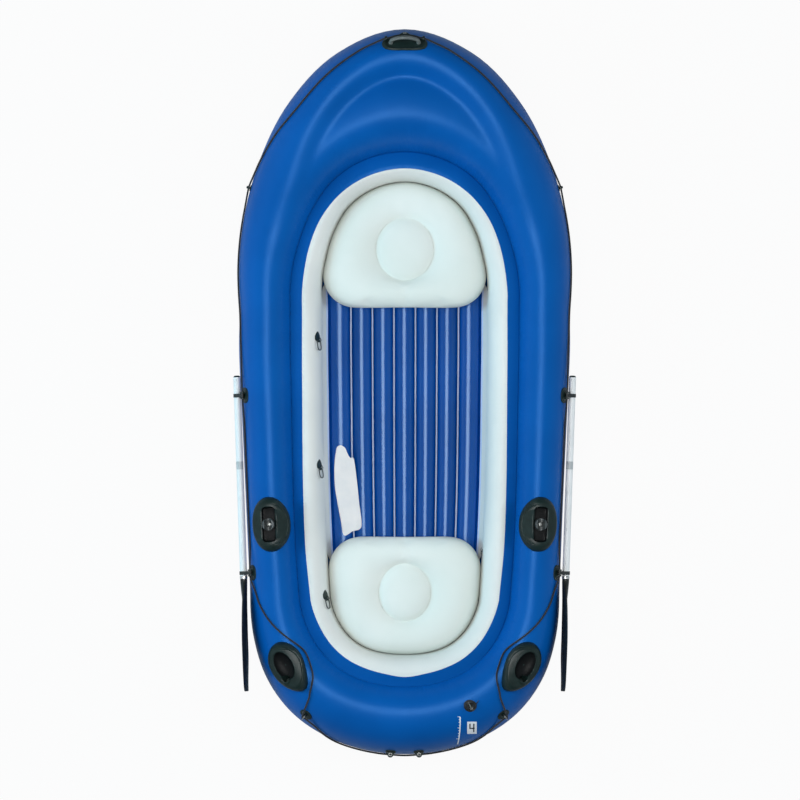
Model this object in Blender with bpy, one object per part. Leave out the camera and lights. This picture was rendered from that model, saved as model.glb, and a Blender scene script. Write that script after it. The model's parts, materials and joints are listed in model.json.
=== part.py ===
"""Inflatable fishing boat with two seats, two stowed oars and an I-beam floor.

Metres, +Z up, bow at +Y, right-hand side at +X. The origin is on the ground under the middle of the hull.
"""

import math

import bmesh
import bpy
from mathutils import Matrix, Vector

# Driving sizes of the hull.
HULL_LENGTH = 2.819
HALF_BEAM = 0.644
SHEET_THICKNESS = 0.002
GAP = 0.0003
BASE = SHEET_THICKNESS + GAP
SIDE_TOP = 0.300
STERN_TOP = 0.318
BOW_TOP = 0.402
NOSE_TOP = 0.420
SIDE_EQUATOR = 0.150
BOW_EQUATOR = 0.268
SIDE_CREASE = 0.222
STERN_CREASE = 0.235
BOW_CREASE = 0.252
INNER_TOP = 0.262
INNER_BOW_TOP = 0.285
INNER_EQUATOR = 0.132

# Plan outlines are measured from a spine along rays: a fan at the bow, level ones at the sides and a
# fan at the stern. Ray 0 points at the stem and ray 18 at the middle of the stern.
FAN_RAYS = 6
SIDE_RAYS = 6
LAST_RAY = 2 * FAN_RAYS + SIDE_RAYS

# Distances from the spine on rays 0 to 18, as shares of the half beam.
OUTER_SHARES = (
    1.632, 1.545, 1.384, 1.225, 1.108, 1.034, 1.000, 0.999, 0.986, 0.972,
    0.958, 0.945, 0.933, 0.940, 0.958, 0.963, 0.950, 0.936, 0.931,
)
CREASE_SHARES = (
    0.894, 0.881, 0.845, 0.783, 0.731, 0.704, 0.693, 0.691, 0.685, 0.679,
    0.671, 0.658, 0.636, 0.614, 0.594, 0.572, 0.547, 0.527, 0.520,
)
WALL_SHARES = (
    0.713, 0.698, 0.660, 0.598, 0.544, 0.514, 0.499, 0.497, 0.493, 0.489,
    0.481, 0.468, 0.448, 0.425, 0.405, 0.382, 0.356, 0.336, 0.328,
)
# The spine's two ends, and the ends of the cockpit's wall.
FORE_END = HULL_LENGTH / 2 - HALF_BEAM * OUTER_SHARES[0]
AFT_END = HALF_BEAM * OUTER_SHARES[-1] - HULL_LENGTH / 2
WALL_FORE = FORE_END + HALF_BEAM * WALL_SHARES[0]
WALL_AFT = AFT_END - HALF_BEAM * WALL_SHARES[-1]
# Where the crest of the outer chamber lies, as a share of the band from its edge to the crease.
CREST_SHARES = (
    0.650, 0.640, 0.610, 0.575, 0.550, 0.538, 0.530, 0.528, 0.528, 0.530,
    0.535, 0.545, 0.560, 0.572, 0.580, 0.584, 0.586, 0.588, 0.588,
)
# The bow lobes: how far aft each blend reaches, in rays, and the nose lobe's place in the band.
NOSE_RAYS = 4.6
STERN_RISE_RAYS = 4.0
NOSE_CREST_SHARE = 0.200
NOSE_INNER_SIZE = 0.118
BOW_LOBE_SIZE = 0.205

# Steps of the lofts.
TOP_STEPS = 8
BOTTOM_STEPS = 4
INNER_STEPS = 4
INNER_LOW_STEPS = 4
PLAN_RAYS = (
    [ray * 0.5 for ray in range(2 * FAN_RAYS)]
    + [FAN_RAYS + ray for ray in range(SIDE_RAYS)]
    + [FAN_RAYS + SIDE_RAYS + ray * 0.5 for ray in range(2 * FAN_RAYS + 1)]
)

# Floor of seven joined tubes.
FLOOR_TUBES = 7
TUBE_PITCH = 0.0853
FLOOR_TOP = 0.075
FLOOR_SEAM = 0.040
FLANGE_WIDTH = 0.013
FLANGE_TOP = 0.012
FLOOR_END_ROOM = 0.014
FLOOR_RINGS = 9
FLOOR_END_SHARE = 0.045

# Seats.
SEAT_CLEARANCE = 0.0025
SEAT_BOTTOM = FLOOR_TOP + GAP
SEAT_TOP = 0.236
SEAT_STEPS = 30
BOW_DISC = (0.113, 0.122)
STERN_DISC = (0.101, 0.113)
BOW_SEAT_LENGTH = 0.4887
BOW_SEAT_MIDDLE = 0.226
STERN_SEAT_LENGTH = 0.4572
STERN_SEAT_MIDDLE = 0.215
BOW_SEAT_EDGE = WALL_FORE - BOW_SEAT_LENGTH
BOW_SEAT_CENTRE = BOW_SEAT_EDGE + BOW_SEAT_MIDDLE
STERN_SEAT_EDGE = WALL_AFT + STERN_SEAT_LENGTH
STERN_SEAT_CENTRE = STERN_SEAT_EDGE - STERN_SEAT_MIDDLE
SEAT_CORNER = 0.125
# A seat's rings: share of the way from its outline to the disc seam, and share of its height.
SEAT_RINGS = (
    (0.30, 0.00), (0.10, 0.06), (0.02, 0.20), (0.00, 0.42), (0.02, 0.62), (0.07, 0.78),
    (0.17, 0.90), (0.34, 0.98), (0.58, 1.00), (0.80, 0.965), (0.93, 0.905), (1.00, 0.84),
)
DISC_RINGS = ((0.94, 0.88), (0.80, 0.94), (0.50, 0.985))

# Oars, stowed along both sides. An oar's place in its two keepers is a way out and a height over the skin.
OAR_LENGTH = 1.228
OAR_RADIUS = 0.0136
OAR_FRONT_HANG = (0.04287, 0.01452)
OAR_REAR_HANG = (0.04157, 0.0227)
HEAD_AHEAD = 0.0785
BLADE_BEHIND = 0.0118
OAR_WALL = 0.0013
OAR_JOINT_SHARE = 0.285
BLADE_LENGTH = 0.448
BLADE_WIDTH = 0.158
BLADE_THICKNESS = 0.0045
BLADE_SPOON = 0.017
SLEEVE_LENGTH = 0.030
SLEEVE_PROUD = 0.0004
CAP_LENGTH = 0.022

# Grab line.
ROPE_RADIUS = 0.0035
ROPE_STAND_OFF = 0.0024
EYE_HEIGHT = 0.0085

# Fittings of moulded rubber. Their places are a ray and a turn on the outer chamber.
SINK = 0.004
PAD_HEIGHT = 0.005
OARLOCK_SHARES = (10.4803, 0.6539)
OARLOCK_HALF = (0.068, 0.107)
OARLOCK_DOME = 0.030
SLOT_WIDTH = 0.050
SLOT_LENGTH = 0.132
SLOT_FLOOR = 0.005
FORK_RADIUS = 0.0235
FORK_TOP = 0.046
FORK_SEAT = 0.020
FORK_GROOVE = 0.0286
PIN_RADIUS = 0.0047
PIN_HEAD_RADIUS = 0.009
PIN_HEAD = 0.003
PIN_FOOT = 0.0018
PIN_CLEARANCE = 0.0003
ROD_SHARES = (14.0036, 0.5997)
ROD_HALF = (0.0625, 0.108)
ROD_DOME = 0.040
ROD_BORE = 0.0145
ROD_BORE_DEPTH = 0.0415
ROD_EGG_SHARE = 0.25
ROD_MOUTH = (0.019, -0.025, 0.042)
ROD_LEAN = (0.10, -0.55, -0.83)
SCOOP_HALF = (0.0375, 0.0605, 0.032)
SCOOP_FORWARD = 0.015
SCOOP_RISE_SHARE = 1.12
SCOOP_LEVELS = (-0.98, -0.75, -0.35, 0.15, 0.65)
REAR_KEEPER_SHARES = (11.4493, 0.2472)
FRONT_KEEPER_TURN = 0.2545
KEEPER_HALF = (0.030, 0.031)
KEEPER_PAD = 0.0025
KEEPER_LINE = 0.012
KEEPER_EYE = 0.0042
CHEEK_WIDTH = 0.0055
CHEEK_GAP = 0.016
STRAP_WIDTH = 0.014
STRAP_THICKNESS = 0.0018
STRAP_CLEARANCE = 0.0008

# Levels of a moulding are pairs of outline share and height share.
PAD_LEVELS = ((1.0, 0.6), (0.92, 1.0), (0.45, 1.0))
SLAB_LEVELS = ((1.0, 1.0), (0.4, 1.0))
DOME_LEVELS = ((1.0, 0.12), (0.95, 0.45), (0.84, 0.81), (0.70, 1.0))
ROUND_SIDES = 14
COARSE_SIDES = 10

# Carrying handle on the nose.
HANDLE_HALF = (0.040, 0.089)
HANDLE_SHARES = (0.0, 0.2977)
HANDLE_EYE = 0.060
HANDLE_EYE_HALF = 0.018
LINE_EYE_ALONG = 0.070
GRIP_RADIUS = 0.0075
GRIP_HALF = 0.052
GRIP_HEIGHT = 0.030
GRIP_INSET = 0.004
GRIP_STEPS = 12

# Steel eyelets.
GROMMET_HOLE = 0.0032
GROMMET_BARREL = 0.0050
GROMMET_FLANGE = 0.0072
GROMMET_RIM = 0.0015

# Loops, rings and tabs for lines.
BOW_LOOP_RAY = 3.60
BOW_LOOP_TURN = 0.05
LOOP_PAD = 0.012
LOOP_PAD_HEIGHT = 0.0035
LOOP_OUTER = 0.0092
LOOP_HOLE = 0.0050
LOOP_WIDTH = 0.009
QUARTER_SHARES = (15.2769, 0.3244)
QUARTER_HALF = (0.023, 0.026)
QUARTER_PAD = 0.003
RING_RADIUS = 0.0120
RING_WIRE = 0.0021
RING_STEPS = 14
LUG_HOLE = 0.0037
LUG_SIZE = 0.011
LUG_WIDTH = 0.007
STERN_TAB_X = 0.0557
STERN_TAB_TURN = 0.16
TAB_LENGTH = 0.023
TAB_THICKNESS = 0.005
TAB_PAD = 0.003
TAB_HALF = 0.020
TAB_EYE_OUT = 0.0105
# The tab's lug from its root to its tip, in shares of half width and of length.
TAB_SHARES = (
    (-1.0, -0.9), (1.0, -0.9), (1.0, 0.04), (0.45, 0.86), (0.2, 1.0), (-0.2, 1.0), (-0.45, 0.86), (-1.0, 0.04),
)

# Valves.
VALVE_SHARES = (15.8754, 0.6739)
VALVE_FLANGE = 0.0245
VALVE_FLANGE_TOP = 0.003
VALVE_BARREL = 0.0180
VALVE_BORE = 0.0135
VALVE_DEPTH = 0.030
VALVE_PLUG_TOP = 0.006
VALVE_CAP = 0.0170
VALVE_CAP_TOP = 0.0135
VALVE_CAP_RIBS = 0.0007
VALVE_WALL = 0.0022
POCKET_ABOVE = 0.020
WALL_VALVE_RAY = 11.0503
WALL_VALVE_TURN = 0.93
WALL_VALVE_FLANGE = 0.014
WALL_VALVE_RIM = 0.002
WALL_VALVE_BARREL = 0.0095
WALL_VALVE_DEPTH = 0.022
WALL_VALVE_PLUG = 0.006
FLOOR_VALVE_AHEAD = 0.065
FLOOR_VALVE_RADIUS = 0.014
FLOOR_VALVE_DEPTH = 0.026
FLOOR_VALVE_RIM = 0.005
FLOOR_VALVE_PLUG = 0.002
SEAT_VALVE_FLANGE = 0.0110
SEAT_VALVE_BARREL = 0.0080
SEAT_VALVE_HEIGHT = 0.034
SEAT_VALVE_INSET = 0.006
SEAT_VALVE_DEPTH = 0.016
SEAT_VALVE_RIM = 0.002
SEAT_VALVE_PLUG = 0.005
PLUG_SHARE = 0.8

# Gear loops on the left wall of the cockpit.
GEAR_LOOP_RAYS = (6.7368, 9.2890, 11.8970)
GEAR_LOOP_TURN = 0.66
WEBBING_HALF = (0.013, 0.017)
WEBBING_THICKNESS = 0.0022
SLEEVE_RADIUS = 0.0048
SLEEVE_BORE = 0.0026
GEAR_SLEEVE_WIDTH = 0.015
GEAR_RING_WIRE = 0.0020
GEAR_RING_HALF = 0.0135
GEAR_RING_DROP = 0.034
GEAR_RING_LIFT = 0.0062
GEAR_RING_REST = math.radians(8)
# The ring from its bar round its bow, in shares of its half width and of its drop.
GEAR_RING_SHARES = (
    (-0.80, 0.00), (0.00, 0.00), (0.80, 0.00), (1.00, -0.08), (1.00, -0.55), (0.88, -0.80),
    (0.55, -0.96), (0.00, -1.00), (-0.55, -0.96), (-0.88, -0.80), (-1.00, -0.55), (-1.00, -0.08),
)

# Folded gear pouch on the floor.
POUCH_THICKNESS = 0.006
POUCH_LENGTH = 0.350
POUCH_WIDTH = 0.103
POUCH_OFF_WALL = 0.0826
POUCH_AHEAD = 0.201
POUCH_LEVELS = ((0.985, 0.0), (1.0, 0.3), (1.0, 0.75), (0.97, 1.0))
POUCH_SHARES = (
    (-1.00, 0.10), (-0.92, 0.68), (-0.74, 0.90), (-0.40, 0.98), (-0.10, 0.84), (0.12, 0.70),
    (0.36, 0.64), (0.62, 0.20), (0.98, -0.72), (0.78, -0.80), (-0.28, -0.94), (-0.66, -0.40),
)

# The blade's stations: share of its length, of its width, and how round the section is.
BLADE_STATIONS = (
    (0.00, 0.17, 1.00), (0.05, 0.19, 1.00), (0.12, 0.42, 0.80), (0.22, 0.78, 0.45), (0.35, 0.95, 0.20),
    (0.55, 1.00, 0.00), (0.78, 0.99, 0.00), (0.93, 0.93, 0.00), (1.00, 0.74, 0.00),
)
BLADE_INSET_SHARE = 0.15

# The grab line's route on each side: rays and turns on the outer chamber, between the things that hold it.
HANDLE_OVER = 0.018
LINE_ON_PAD = ROPE_RADIUS + 5 * GAP
NOSE_ROUTE = ((0.60, 0.270), (1.25, 0.318), (2.00, 0.330), (2.60, 0.240), (3.25, 0.110))
NOSE_STEPS = 7
SHOULDER_ROUTE = ((4.00, 0.040), (5.20, 0.090), (7.00, 0.215))
SHOULDER_STEPS = 5
SIDE_ROUTE = ((8.50, 0.228), (9.70, 0.221), (10.90, 0.232))
SIDE_STEPS = 2
QUARTER_ROUTE = (
    (11.85, 0.340), (12.50, 0.540), (13.24, 0.758), (13.75, 0.850),
    (14.25, 0.826), (14.70, 0.745), (15.05, 0.545),
)
QUARTER_STEPS = 10
STERN_ROUTE = ((15.65, 0.235), (16.40, 0.040), (17.50, -0.030))
STERN_STEPS = 5
STERN_TURN = -0.030


def clear_scene():
    """Empties the scene."""
    for thing in list(bpy.data.objects):
        bpy.data.objects.remove(thing, do_unlink=True)


def material(name, hex_colour, roughness, metallic=0.0):
    """A plain material from an sRGB hex colour."""
    made = bpy.data.materials.get(name) or bpy.data.materials.new(name)
    made.use_nodes = True
    channels = [int(hex_colour[i : i + 2], 16) / 255 for i in (0, 2, 4)]
    linear = [c / 12.92 if c <= 0.04045 else ((c + 0.055) / 1.055) ** 2.4 for c in channels]
    shader = made.node_tree.nodes["Principled BSDF"]
    shader.inputs["Base Color"].default_value = (*linear, 1.0)
    shader.inputs["Roughness"].default_value = roughness
    shader.inputs["Metallic"].default_value = metallic
    made.diffuse_color = (*linear, 1.0)
    return made


BLUE_VINYL = material("blue_vinyl", "0F479C", 0.30)
WHITE_VINYL = material("white_vinyl", "E4E8E6", 0.38)
BLACK_RUBBER = material("black_rubber", "15191A", 0.50)
BLACK_ROPE = material("black_rope", "17191C", 0.85)
BARE_ALUMINIUM = material("bare_aluminium", "DADDDF", 0.30, 1.0)
STEEL = material("polished_steel", "C9CCCC", 0.18, 1.0)
BLACK_PLASTIC = material("black_plastic", "1A1D1F", 0.40)
GREY_PLASTIC = material("grey_plastic", "5B605F", 0.45)


def mix(first, second, share):
    return first + (second - first) * share


def smooth_step(share):
    share = min(1.0, max(0.0, share))
    return share * share * (3 - 2 * share)


def share_at(shares, ray):
    """The share on a ray between two whole ones, from a smooth curve that is level at both ends."""
    low = min(int(ray), LAST_RAY - 1)
    t = ray - low
    p0, p1, p2, p3 = (shares[min(abs(i), 2 * LAST_RAY - abs(i))] for i in range(low - 1, low + 3))
    return 0.5 * (
        2 * p1
        + (p2 - p0) * t
        + (2 * p0 - 5 * p1 + 4 * p2 - p3) * t * t
        + (3 * p1 - p0 - 3 * p2 + p3) * t * t * t
    )


def reach(shares, ray):
    return HALF_BEAM * share_at(shares, ray)


def plan_point(ray, distance):
    """The plan point at a distance along a ray on the right-hand side."""
    fan = math.pi / 2 / FAN_RAYS
    if ray <= FAN_RAYS:
        angle, start = (FAN_RAYS - ray) * fan, FORE_END
    elif ray <= FAN_RAYS + SIDE_RAYS:
        angle, start = 0.0, mix(FORE_END, AFT_END, (ray - FAN_RAYS) / SIDE_RAYS)
    else:
        angle, start = -(ray - FAN_RAYS - SIDE_RAYS) * fan, AFT_END
    return distance * math.cos(angle), start + distance * math.sin(angle)


def ray_of(x, y):
    """The ray through a plan point, and the point's distance along it."""
    fan = math.pi / 2 / FAN_RAYS
    if y > FORE_END:
        return (math.pi / 2 - math.atan2(y - FORE_END, x)) / fan, math.hypot(x, y - FORE_END)
    if y < AFT_END:
        angle = math.atan2(AFT_END - y, x)
        return FAN_RAYS + SIDE_RAYS + angle / fan, math.hypot(x, y - AFT_END)
    return FAN_RAYS + SIDE_RAYS * (FORE_END - y) / (FORE_END - AFT_END), x


def half_width_at(shares, y, room):
    """Half the width, at height y in plan, of the outline that lies a little inside the given one."""
    low, high = 0.0, float(LAST_RAY)
    for _ in range(30):
        middle = (low + high) / 2
        if plan_point(middle, reach(shares, middle) - room)[1] > y:
            low = middle
        else:
            high = middle
    return max(0.0, plan_point(low, reach(shares, low) - room)[0])


class Band:
    """The cross-section of the outer chamber on one ray, measured inwards from its outer edge."""

    def __init__(self, ray):
        self.edge = reach(OUTER_SHARES, ray)
        self.width = self.edge - reach(CREASE_SHARES, ray) - GAP / 2
        self.bow = smooth_step(1 - ray / NOSE_RAYS)
        stern = smooth_step((ray - FAN_RAYS - SIDE_RAYS) / STERN_RISE_RAYS)
        self.crest = self.width * share_at(CREST_SHARES, ray)
        self.top = mix(mix(SIDE_TOP, STERN_TOP, stern), BOW_TOP, self.bow)
        self.equator = mix(SIDE_EQUATOR, BOW_EQUATOR, self.bow)
        self.lobe = min(self.crest, mix(self.crest, BOW_LOBE_SIZE, self.bow))
        self.crease = mix(mix(SIDE_CREASE, STERN_CREASE, stern), BOW_CREASE, self.bow)
        share = (self.crease - SIDE_EQUATOR) / (self.top - SIDE_EQUATOR)
        self.inner_turn = math.sqrt(1 - share * share)

    def top_at(self, depth):
        """Height of the top: the main lobe, and at the bow the nose lobe where that is higher."""
        if depth >= self.crest:
            turn = (depth - self.crest) / (self.width - self.crest) * self.inner_turn
            main = mix(SIDE_EQUATOR, self.top, math.sqrt(max(0.0, 1 - turn * turn)))
        else:
            turn = (self.crest - depth) / self.lobe
            main = mix(self.equator, self.top, math.sqrt(max(0.0, 1 - turn * turn)))
        nose_crest = mix(self.crest, self.width * NOSE_CREST_SHARE, self.bow)
        inner = mix(self.width - self.crest, NOSE_INNER_SIZE, self.bow)
        turn = (nose_crest - depth) / (nose_crest if depth < nose_crest else inner)
        nose_top = mix(self.top, NOSE_TOP, self.bow)
        nose = mix(self.equator, nose_top, math.sqrt(max(0.0, 1 - turn * turn)))
        return max(main, nose)

    def bottom_at(self, depth):
        if depth >= self.crest:
            turn = (depth - self.crest) / (self.width - self.crest) * self.inner_turn
            return mix(SIDE_EQUATOR, BASE, math.sqrt(max(0.0, 1 - turn * turn)))
        turn = (self.crest - depth) / self.crest
        return mix(self.equator, BASE, math.sqrt(max(0.0, 1 - turn * turn)))

    def at(self, turn):
        """Distance from the spine and height, at turn 0 on the edge, 1 and -1 on the crease."""
        depth = self.width * (1 - math.cos(abs(turn) * math.pi / 2))
        return self.edge - depth, self.top_at(depth) if turn >= 0 else self.bottom_at(depth)


def outer_skin(ray, turn, side):
    """A point of the outer chamber's skin. A ray below zero lies on the other side of the stem."""
    if ray < 0:
        ray, side = -ray, -side
    if ray > LAST_RAY:
        ray, side = 2 * LAST_RAY - ray, -side
    distance, height = Band(ray).at(turn)
    x, y = plan_point(ray, distance)
    return Vector((side * x, y, height))


def inner_profile(ray):
    """The inner chamber's cross-section: crease, crest, wall, underside and crease again."""
    start = reach(CREASE_SHARES, ray) - GAP / 2
    half = (start - reach(WALL_SHARES, ray)) / 2
    bow = smooth_step(1 - ray / NOSE_RAYS)
    top = mix(INNER_TOP, INNER_BOW_TOP, bow)
    share = (Band(ray).crease - INNER_EQUATOR) / (top - INNER_EQUATOR)
    turn = math.asin(math.sqrt(1 - share * share))
    half_out = half / math.sin(turn)
    points = []
    for step in range(2 * INNER_STEPS + 1):
        angle = mix(turn, -math.pi / 2, step / (2 * INNER_STEPS))
        size = half_out if angle > 0 else half
        points.append((start - half + size * math.sin(angle), mix(INNER_EQUATOR, top, math.cos(angle))))
    for step in range(1, INNER_LOW_STEPS):
        angle = mix(-math.pi / 2, turn, step / INNER_LOW_STEPS)
        size = half_out if angle > 0 else half
        points.append((start - half + size * math.sin(angle), mix(INNER_EQUATOR, BASE, math.cos(angle))))
    return points


def inner_skin(ray, turn, side):
    """A point of the inner chamber's skin, at turn 0 on the crease and 1 at the wall's widest height."""
    points = inner_profile(ray)
    place = turn * 2 * INNER_STEPS
    low = min(int(place), 2 * INNER_STEPS - 1)
    distance = mix(points[low][0], points[low + 1][0], place - low)
    height = mix(points[low][1], points[low + 1][1], place - low)
    x, y = plan_point(ray, distance)
    return Vector((side * x, y, height))


class Patch:
    """A place on a skin. It turns local sizes (outboard, forward, up from the skin) into points."""

    STEP = 0.01

    def __init__(self, skin, ray, turn, side):
        self.skin, self.ray, self.turn, self.side = skin, ray, turn, side
        self.centre = skin(ray, turn, side)
        self.forward_rate = self.rate(1, 0).length
        self.outward_rate = self.rate(0, 1).length
        self.normal = self.normal_at(ray, turn)
        forward = -self.rate(1, 0).normalized()
        self.forward = (forward - self.normal * forward.dot(self.normal)).normalized()
        self.outward = self.forward.cross(self.normal) * side

    def rate(self, along, across, ray=None, turn=None):
        ray = self.ray if ray is None else ray
        turn = self.turn if turn is None else turn
        step = self.STEP
        after = self.skin(ray + along * step, turn + across * step, self.side)
        before = self.skin(ray - along * step, turn - across * step, self.side)
        return (after - before) / (2 * step)

    def normal_at(self, ray, turn):
        normal = self.rate(0, 1, ray, turn).cross(self.rate(1, 0, ray, turn)) * self.side
        return normal.normalized()

    def face(self, way):
        """Turns the flat frame about its normal, so that forward lies along a given way."""
        self.forward = (way - self.normal * way.dot(self.normal)).normalized()
        self.outward = self.forward.cross(self.normal) * self.side
        return self

    def wrap(self, out, forward, height):
        """A point that follows the skin's curve."""
        ray = self.ray - forward / self.forward_rate
        turn = self.turn - out / self.outward_rate
        return self.skin(ray, turn, self.side) + self.normal_at(ray, turn) * height

    def rigid(self, out, forward, height):
        """A point in the flat frame that touches the skin at the centre."""
        return self.centre + self.outward * out + self.forward * forward + self.normal * height


def new_object(name, bm, look, matrix=None):
    """An object from a bmesh, with its faces pointing out, in the scene."""
    bmesh.ops.recalc_face_normals(bm, faces=bm.faces)
    mesh = bpy.data.meshes.new(name)
    bm.to_mesh(mesh)
    bm.free()
    mesh.shade_smooth()
    mesh.set_sharp_from_angle(angle=math.radians(35))
    made = bpy.data.objects.new(name, mesh)
    if look:
        made.data.materials.append(look)
    bpy.context.scene.collection.objects.link(made)
    if matrix is not None:
        made.matrix_world = matrix
    return made


def loft(name, rings, look=None, closed=False, matrix=None, triangles=False):
    """A skin through rings of points. It is closed into a ring of rings, or capped at both ends."""
    bm = bmesh.new()
    rows = [[bm.verts.new(point) for point in ring] for ring in rings]
    count = len(rows[0])
    for this, after in zip(rows, rows[1:] + rows[:1] if closed else rows[1:]):
        for i in range(count):
            j = (i + 1) % count
            bm.faces.new((this[i], this[j], after[j], after[i]))
    if not closed:
        bm.faces.new(rows[0])
        bm.faces.new(rows[-1])
    if triangles:
        bmesh.ops.triangulate(bm, faces=bm.faces, quad_method="FIXED")
    return new_object(name, bm, look, matrix)


def prism(name, outline, low, high, look=None, matrix=None):
    rings = [[Vector((x, y, height)) for x, y in outline] for height in (low, high)]
    return loft(name, rings, look, matrix=matrix)


def box(name, centre, size, look=None, matrix=None):
    x, y, z = (value / 2 for value in size)
    outline = [(centre[0] + sx * x, centre[1] + sy * y) for sx, sy in ((-1, -1), (1, -1), (1, 1), (-1, 1))]
    return prism(name, outline, centre[2] - z, centre[2] + z, look, matrix)


def turned(name, profile, sides, look=None, matrix=None, ribs=0.0):
    """A solid of revolution about local Z, from radii and heights. Ribs cut every other side."""
    rings = []
    for radius, height in profile:
        ring = []
        for i in range(sides):
            angle = 2 * math.pi * i / sides
            size = radius - (ribs if i % 2 and radius > ribs * 4 else 0.0)
            ring.append(Vector((size * math.cos(angle), size * math.sin(angle), height)))
        rings.append(ring)
    return loft(name, rings, look, matrix=matrix)


def post(name, radius, low, high, matrix, look=None, sides=ROUND_SIDES):
    """A plain cylinder about local Z."""
    return turned(name, [(radius, low), (radius, high)], sides, look, matrix)


def tube(name, points, radius, look, closed=False, resolution=2):
    """A round tube along points, with filled ends."""
    curve = bpy.data.curves.new(name, "CURVE")
    curve.dimensions = "3D"
    curve.bevel_depth = radius
    curve.bevel_resolution = resolution
    curve.use_fill_caps = True
    spline = curve.splines.new("POLY")
    spline.points.add(len(points) - 1)
    for knot, point in zip(spline.points, points):
        knot.co = (*point, 1.0)
    spline.use_cyclic_u = closed
    spline.use_smooth = True
    curve.materials.append(look)
    made = bpy.data.objects.new(name, curve)
    bpy.context.scene.collection.objects.link(made)
    return made


def boolean(target, helper, operation):
    """Cuts or joins a helper, which stays hidden."""
    modifier = target.modifiers.new(operation.lower(), "BOOLEAN")
    modifier.operation = operation
    modifier.solver = "EXACT"
    modifier.object = helper
    helper.hide_render = True
    helper.display_type = "WIRE"


def cut(target, *helpers):
    for helper in helpers:
        boolean(target, helper, "DIFFERENCE")


def fuse(target, *helpers):
    for helper in helpers:
        boolean(target, helper, "UNION")


def frame_matrix(origin, x_axis, y_axis, z_axis):
    columns = (x_axis, y_axis, z_axis, origin)
    return Matrix([[column[row] for column in columns] for row in range(3)] + [[0.0, 0.0, 0.0, 1.0]])


def patch_matrix(patch, out=0.0, forward=0.0, height=0.0):
    """A right-handed frame on a patch: Z up from the skin and Y forward."""
    x_axis = patch.forward.cross(patch.normal)
    return frame_matrix(patch.rigid(out, forward, height), x_axis, patch.forward, patch.normal)


def set_origin(thing, point):
    """Moves an object's origin to a world point and leaves its shape where it is."""
    shift = thing.matrix_world.inverted() @ Vector(point)
    thing.data.transform(Matrix.Translation(-shift))
    thing.matrix_world = thing.matrix_world @ Matrix.Translation(shift)


def pad(name, patch, outline, height, levels, look=BLACK_RUBBER):
    """A moulded patch that follows the skin, from its outline, its height and its levels."""
    rings = [[patch.wrap(x, y, -SINK) for x, y in outline]]
    for share, level in levels:
        rings.append([patch.wrap(x * share, y * share, height * level) for x, y in outline])
    return loft(name, rings, look, triangles=True)


def swell(thing, amount):
    """Moves every corner of a mesh out along its normal."""
    bm = bmesh.new()
    bm.from_mesh(thing.data)
    bm.normal_update()
    for vert in bm.verts:
        vert.co += vert.normal * amount
    bm.to_mesh(thing.data)
    bm.free()


def ring_of(section_at):
    """The rings of a loft all round the hull, from a function of ray and side."""
    right = [section_at(ray, 1) for ray in PLAN_RAYS]
    left = [section_at(ray, -1) for ray in reversed(PLAN_RAYS[1:-1])]
    return right + left


def outer_section(ray, side):
    band = Band(ray)
    turns = [step / TOP_STEPS for step in range(TOP_STEPS, -1, -1)]
    turns += [-step / BOTTOM_STEPS for step in range(1, BOTTOM_STEPS + 1)]
    section = []
    for turn in turns:
        distance, height = band.at(turn)
        x, y = plan_point(ray, distance)
        section.append(Vector((side * x, y, height)))
    return section


def inner_section(ray, side):
    section = []
    for distance, height in inner_profile(ray):
        x, y = plan_point(ray, distance)
        section.append(Vector((side * x, y, height)))
    return section


def chamber(name, section_at, look):
    """A chamber, and a hidden copy that is larger by the gap, which fittings are cut to."""
    made = loft(name, ring_of(section_at), look, closed=True, triangles=True)
    room = loft(name + "_room", ring_of(section_at), closed=True, triangles=True)
    swell(room, GAP)
    room.hide_render = True
    room.display_type = "WIRE"
    return made, room


def bottom_sheet():
    """The sheet under chambers and floor, out to the line where the outer chamber touches it."""

    def edge(ray, side):
        band = Band(ray)
        x, y = plan_point(ray, band.edge - band.crest)
        return side * x, y

    return prism("bottom_sheet", ring_of(edge), 0.0, SHEET_THICKNESS, BLUE_VINYL)


def floor_section(y, half_width, rise):
    """One cross-section of the floor: tube crests and seams between two flanges."""
    pitch = 2 * half_width / FLOOR_TUBES
    last = 4 * FLOOR_TUBES
    points = [(half_width + FLANGE_WIDTH, BASE), (half_width + FLANGE_WIDTH, FLANGE_TOP)]
    for step in range(last + 1):
        angle = math.pi * (step % 4) / 4
        x = half_width - pitch * (step // 4) - pitch / 2 * (1 - math.cos(angle))
        seam = FLANGE_TOP if step in (0, last) else FLOOR_SEAM
        points.append((x, mix(FLANGE_TOP, mix(seam, FLOOR_TOP, math.sin(angle)), rise)))
    points += [(-half_width - FLANGE_WIDTH, FLANGE_TOP), (-half_width - FLANGE_WIDTH, BASE)]
    return [Vector((x, y, height)) for x, height in points]


def floor_chamber():
    """Seven tubes side by side, drawn in at both rounded ends of the cockpit."""
    aft = plan_point(LAST_RAY, reach(WALL_SHARES, LAST_RAY) - FLOOR_END_ROOM)[1]
    fore = plan_point(0, reach(WALL_SHARES, 0) - FLOOR_END_ROOM)[1]
    full = FLOOR_TUBES * TUBE_PITCH / 2
    rings = []
    for step in range(FLOOR_RINGS + 1):
        turn = math.pi * mix(FLOOR_END_SHARE, 1 - FLOOR_END_SHARE, step / FLOOR_RINGS)
        y = mix(fore, aft, (1 - math.cos(turn)) / 2)
        width = min(full, half_width_at(WALL_SHARES, y, FLOOR_END_ROOM) - FLANGE_WIDTH)
        rings.append(floor_section(y, width, 0.0 if step in (0, FLOOR_RINGS) else 1.0))
    return loft("floor_chamber", rings, BLUE_VINYL)


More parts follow.
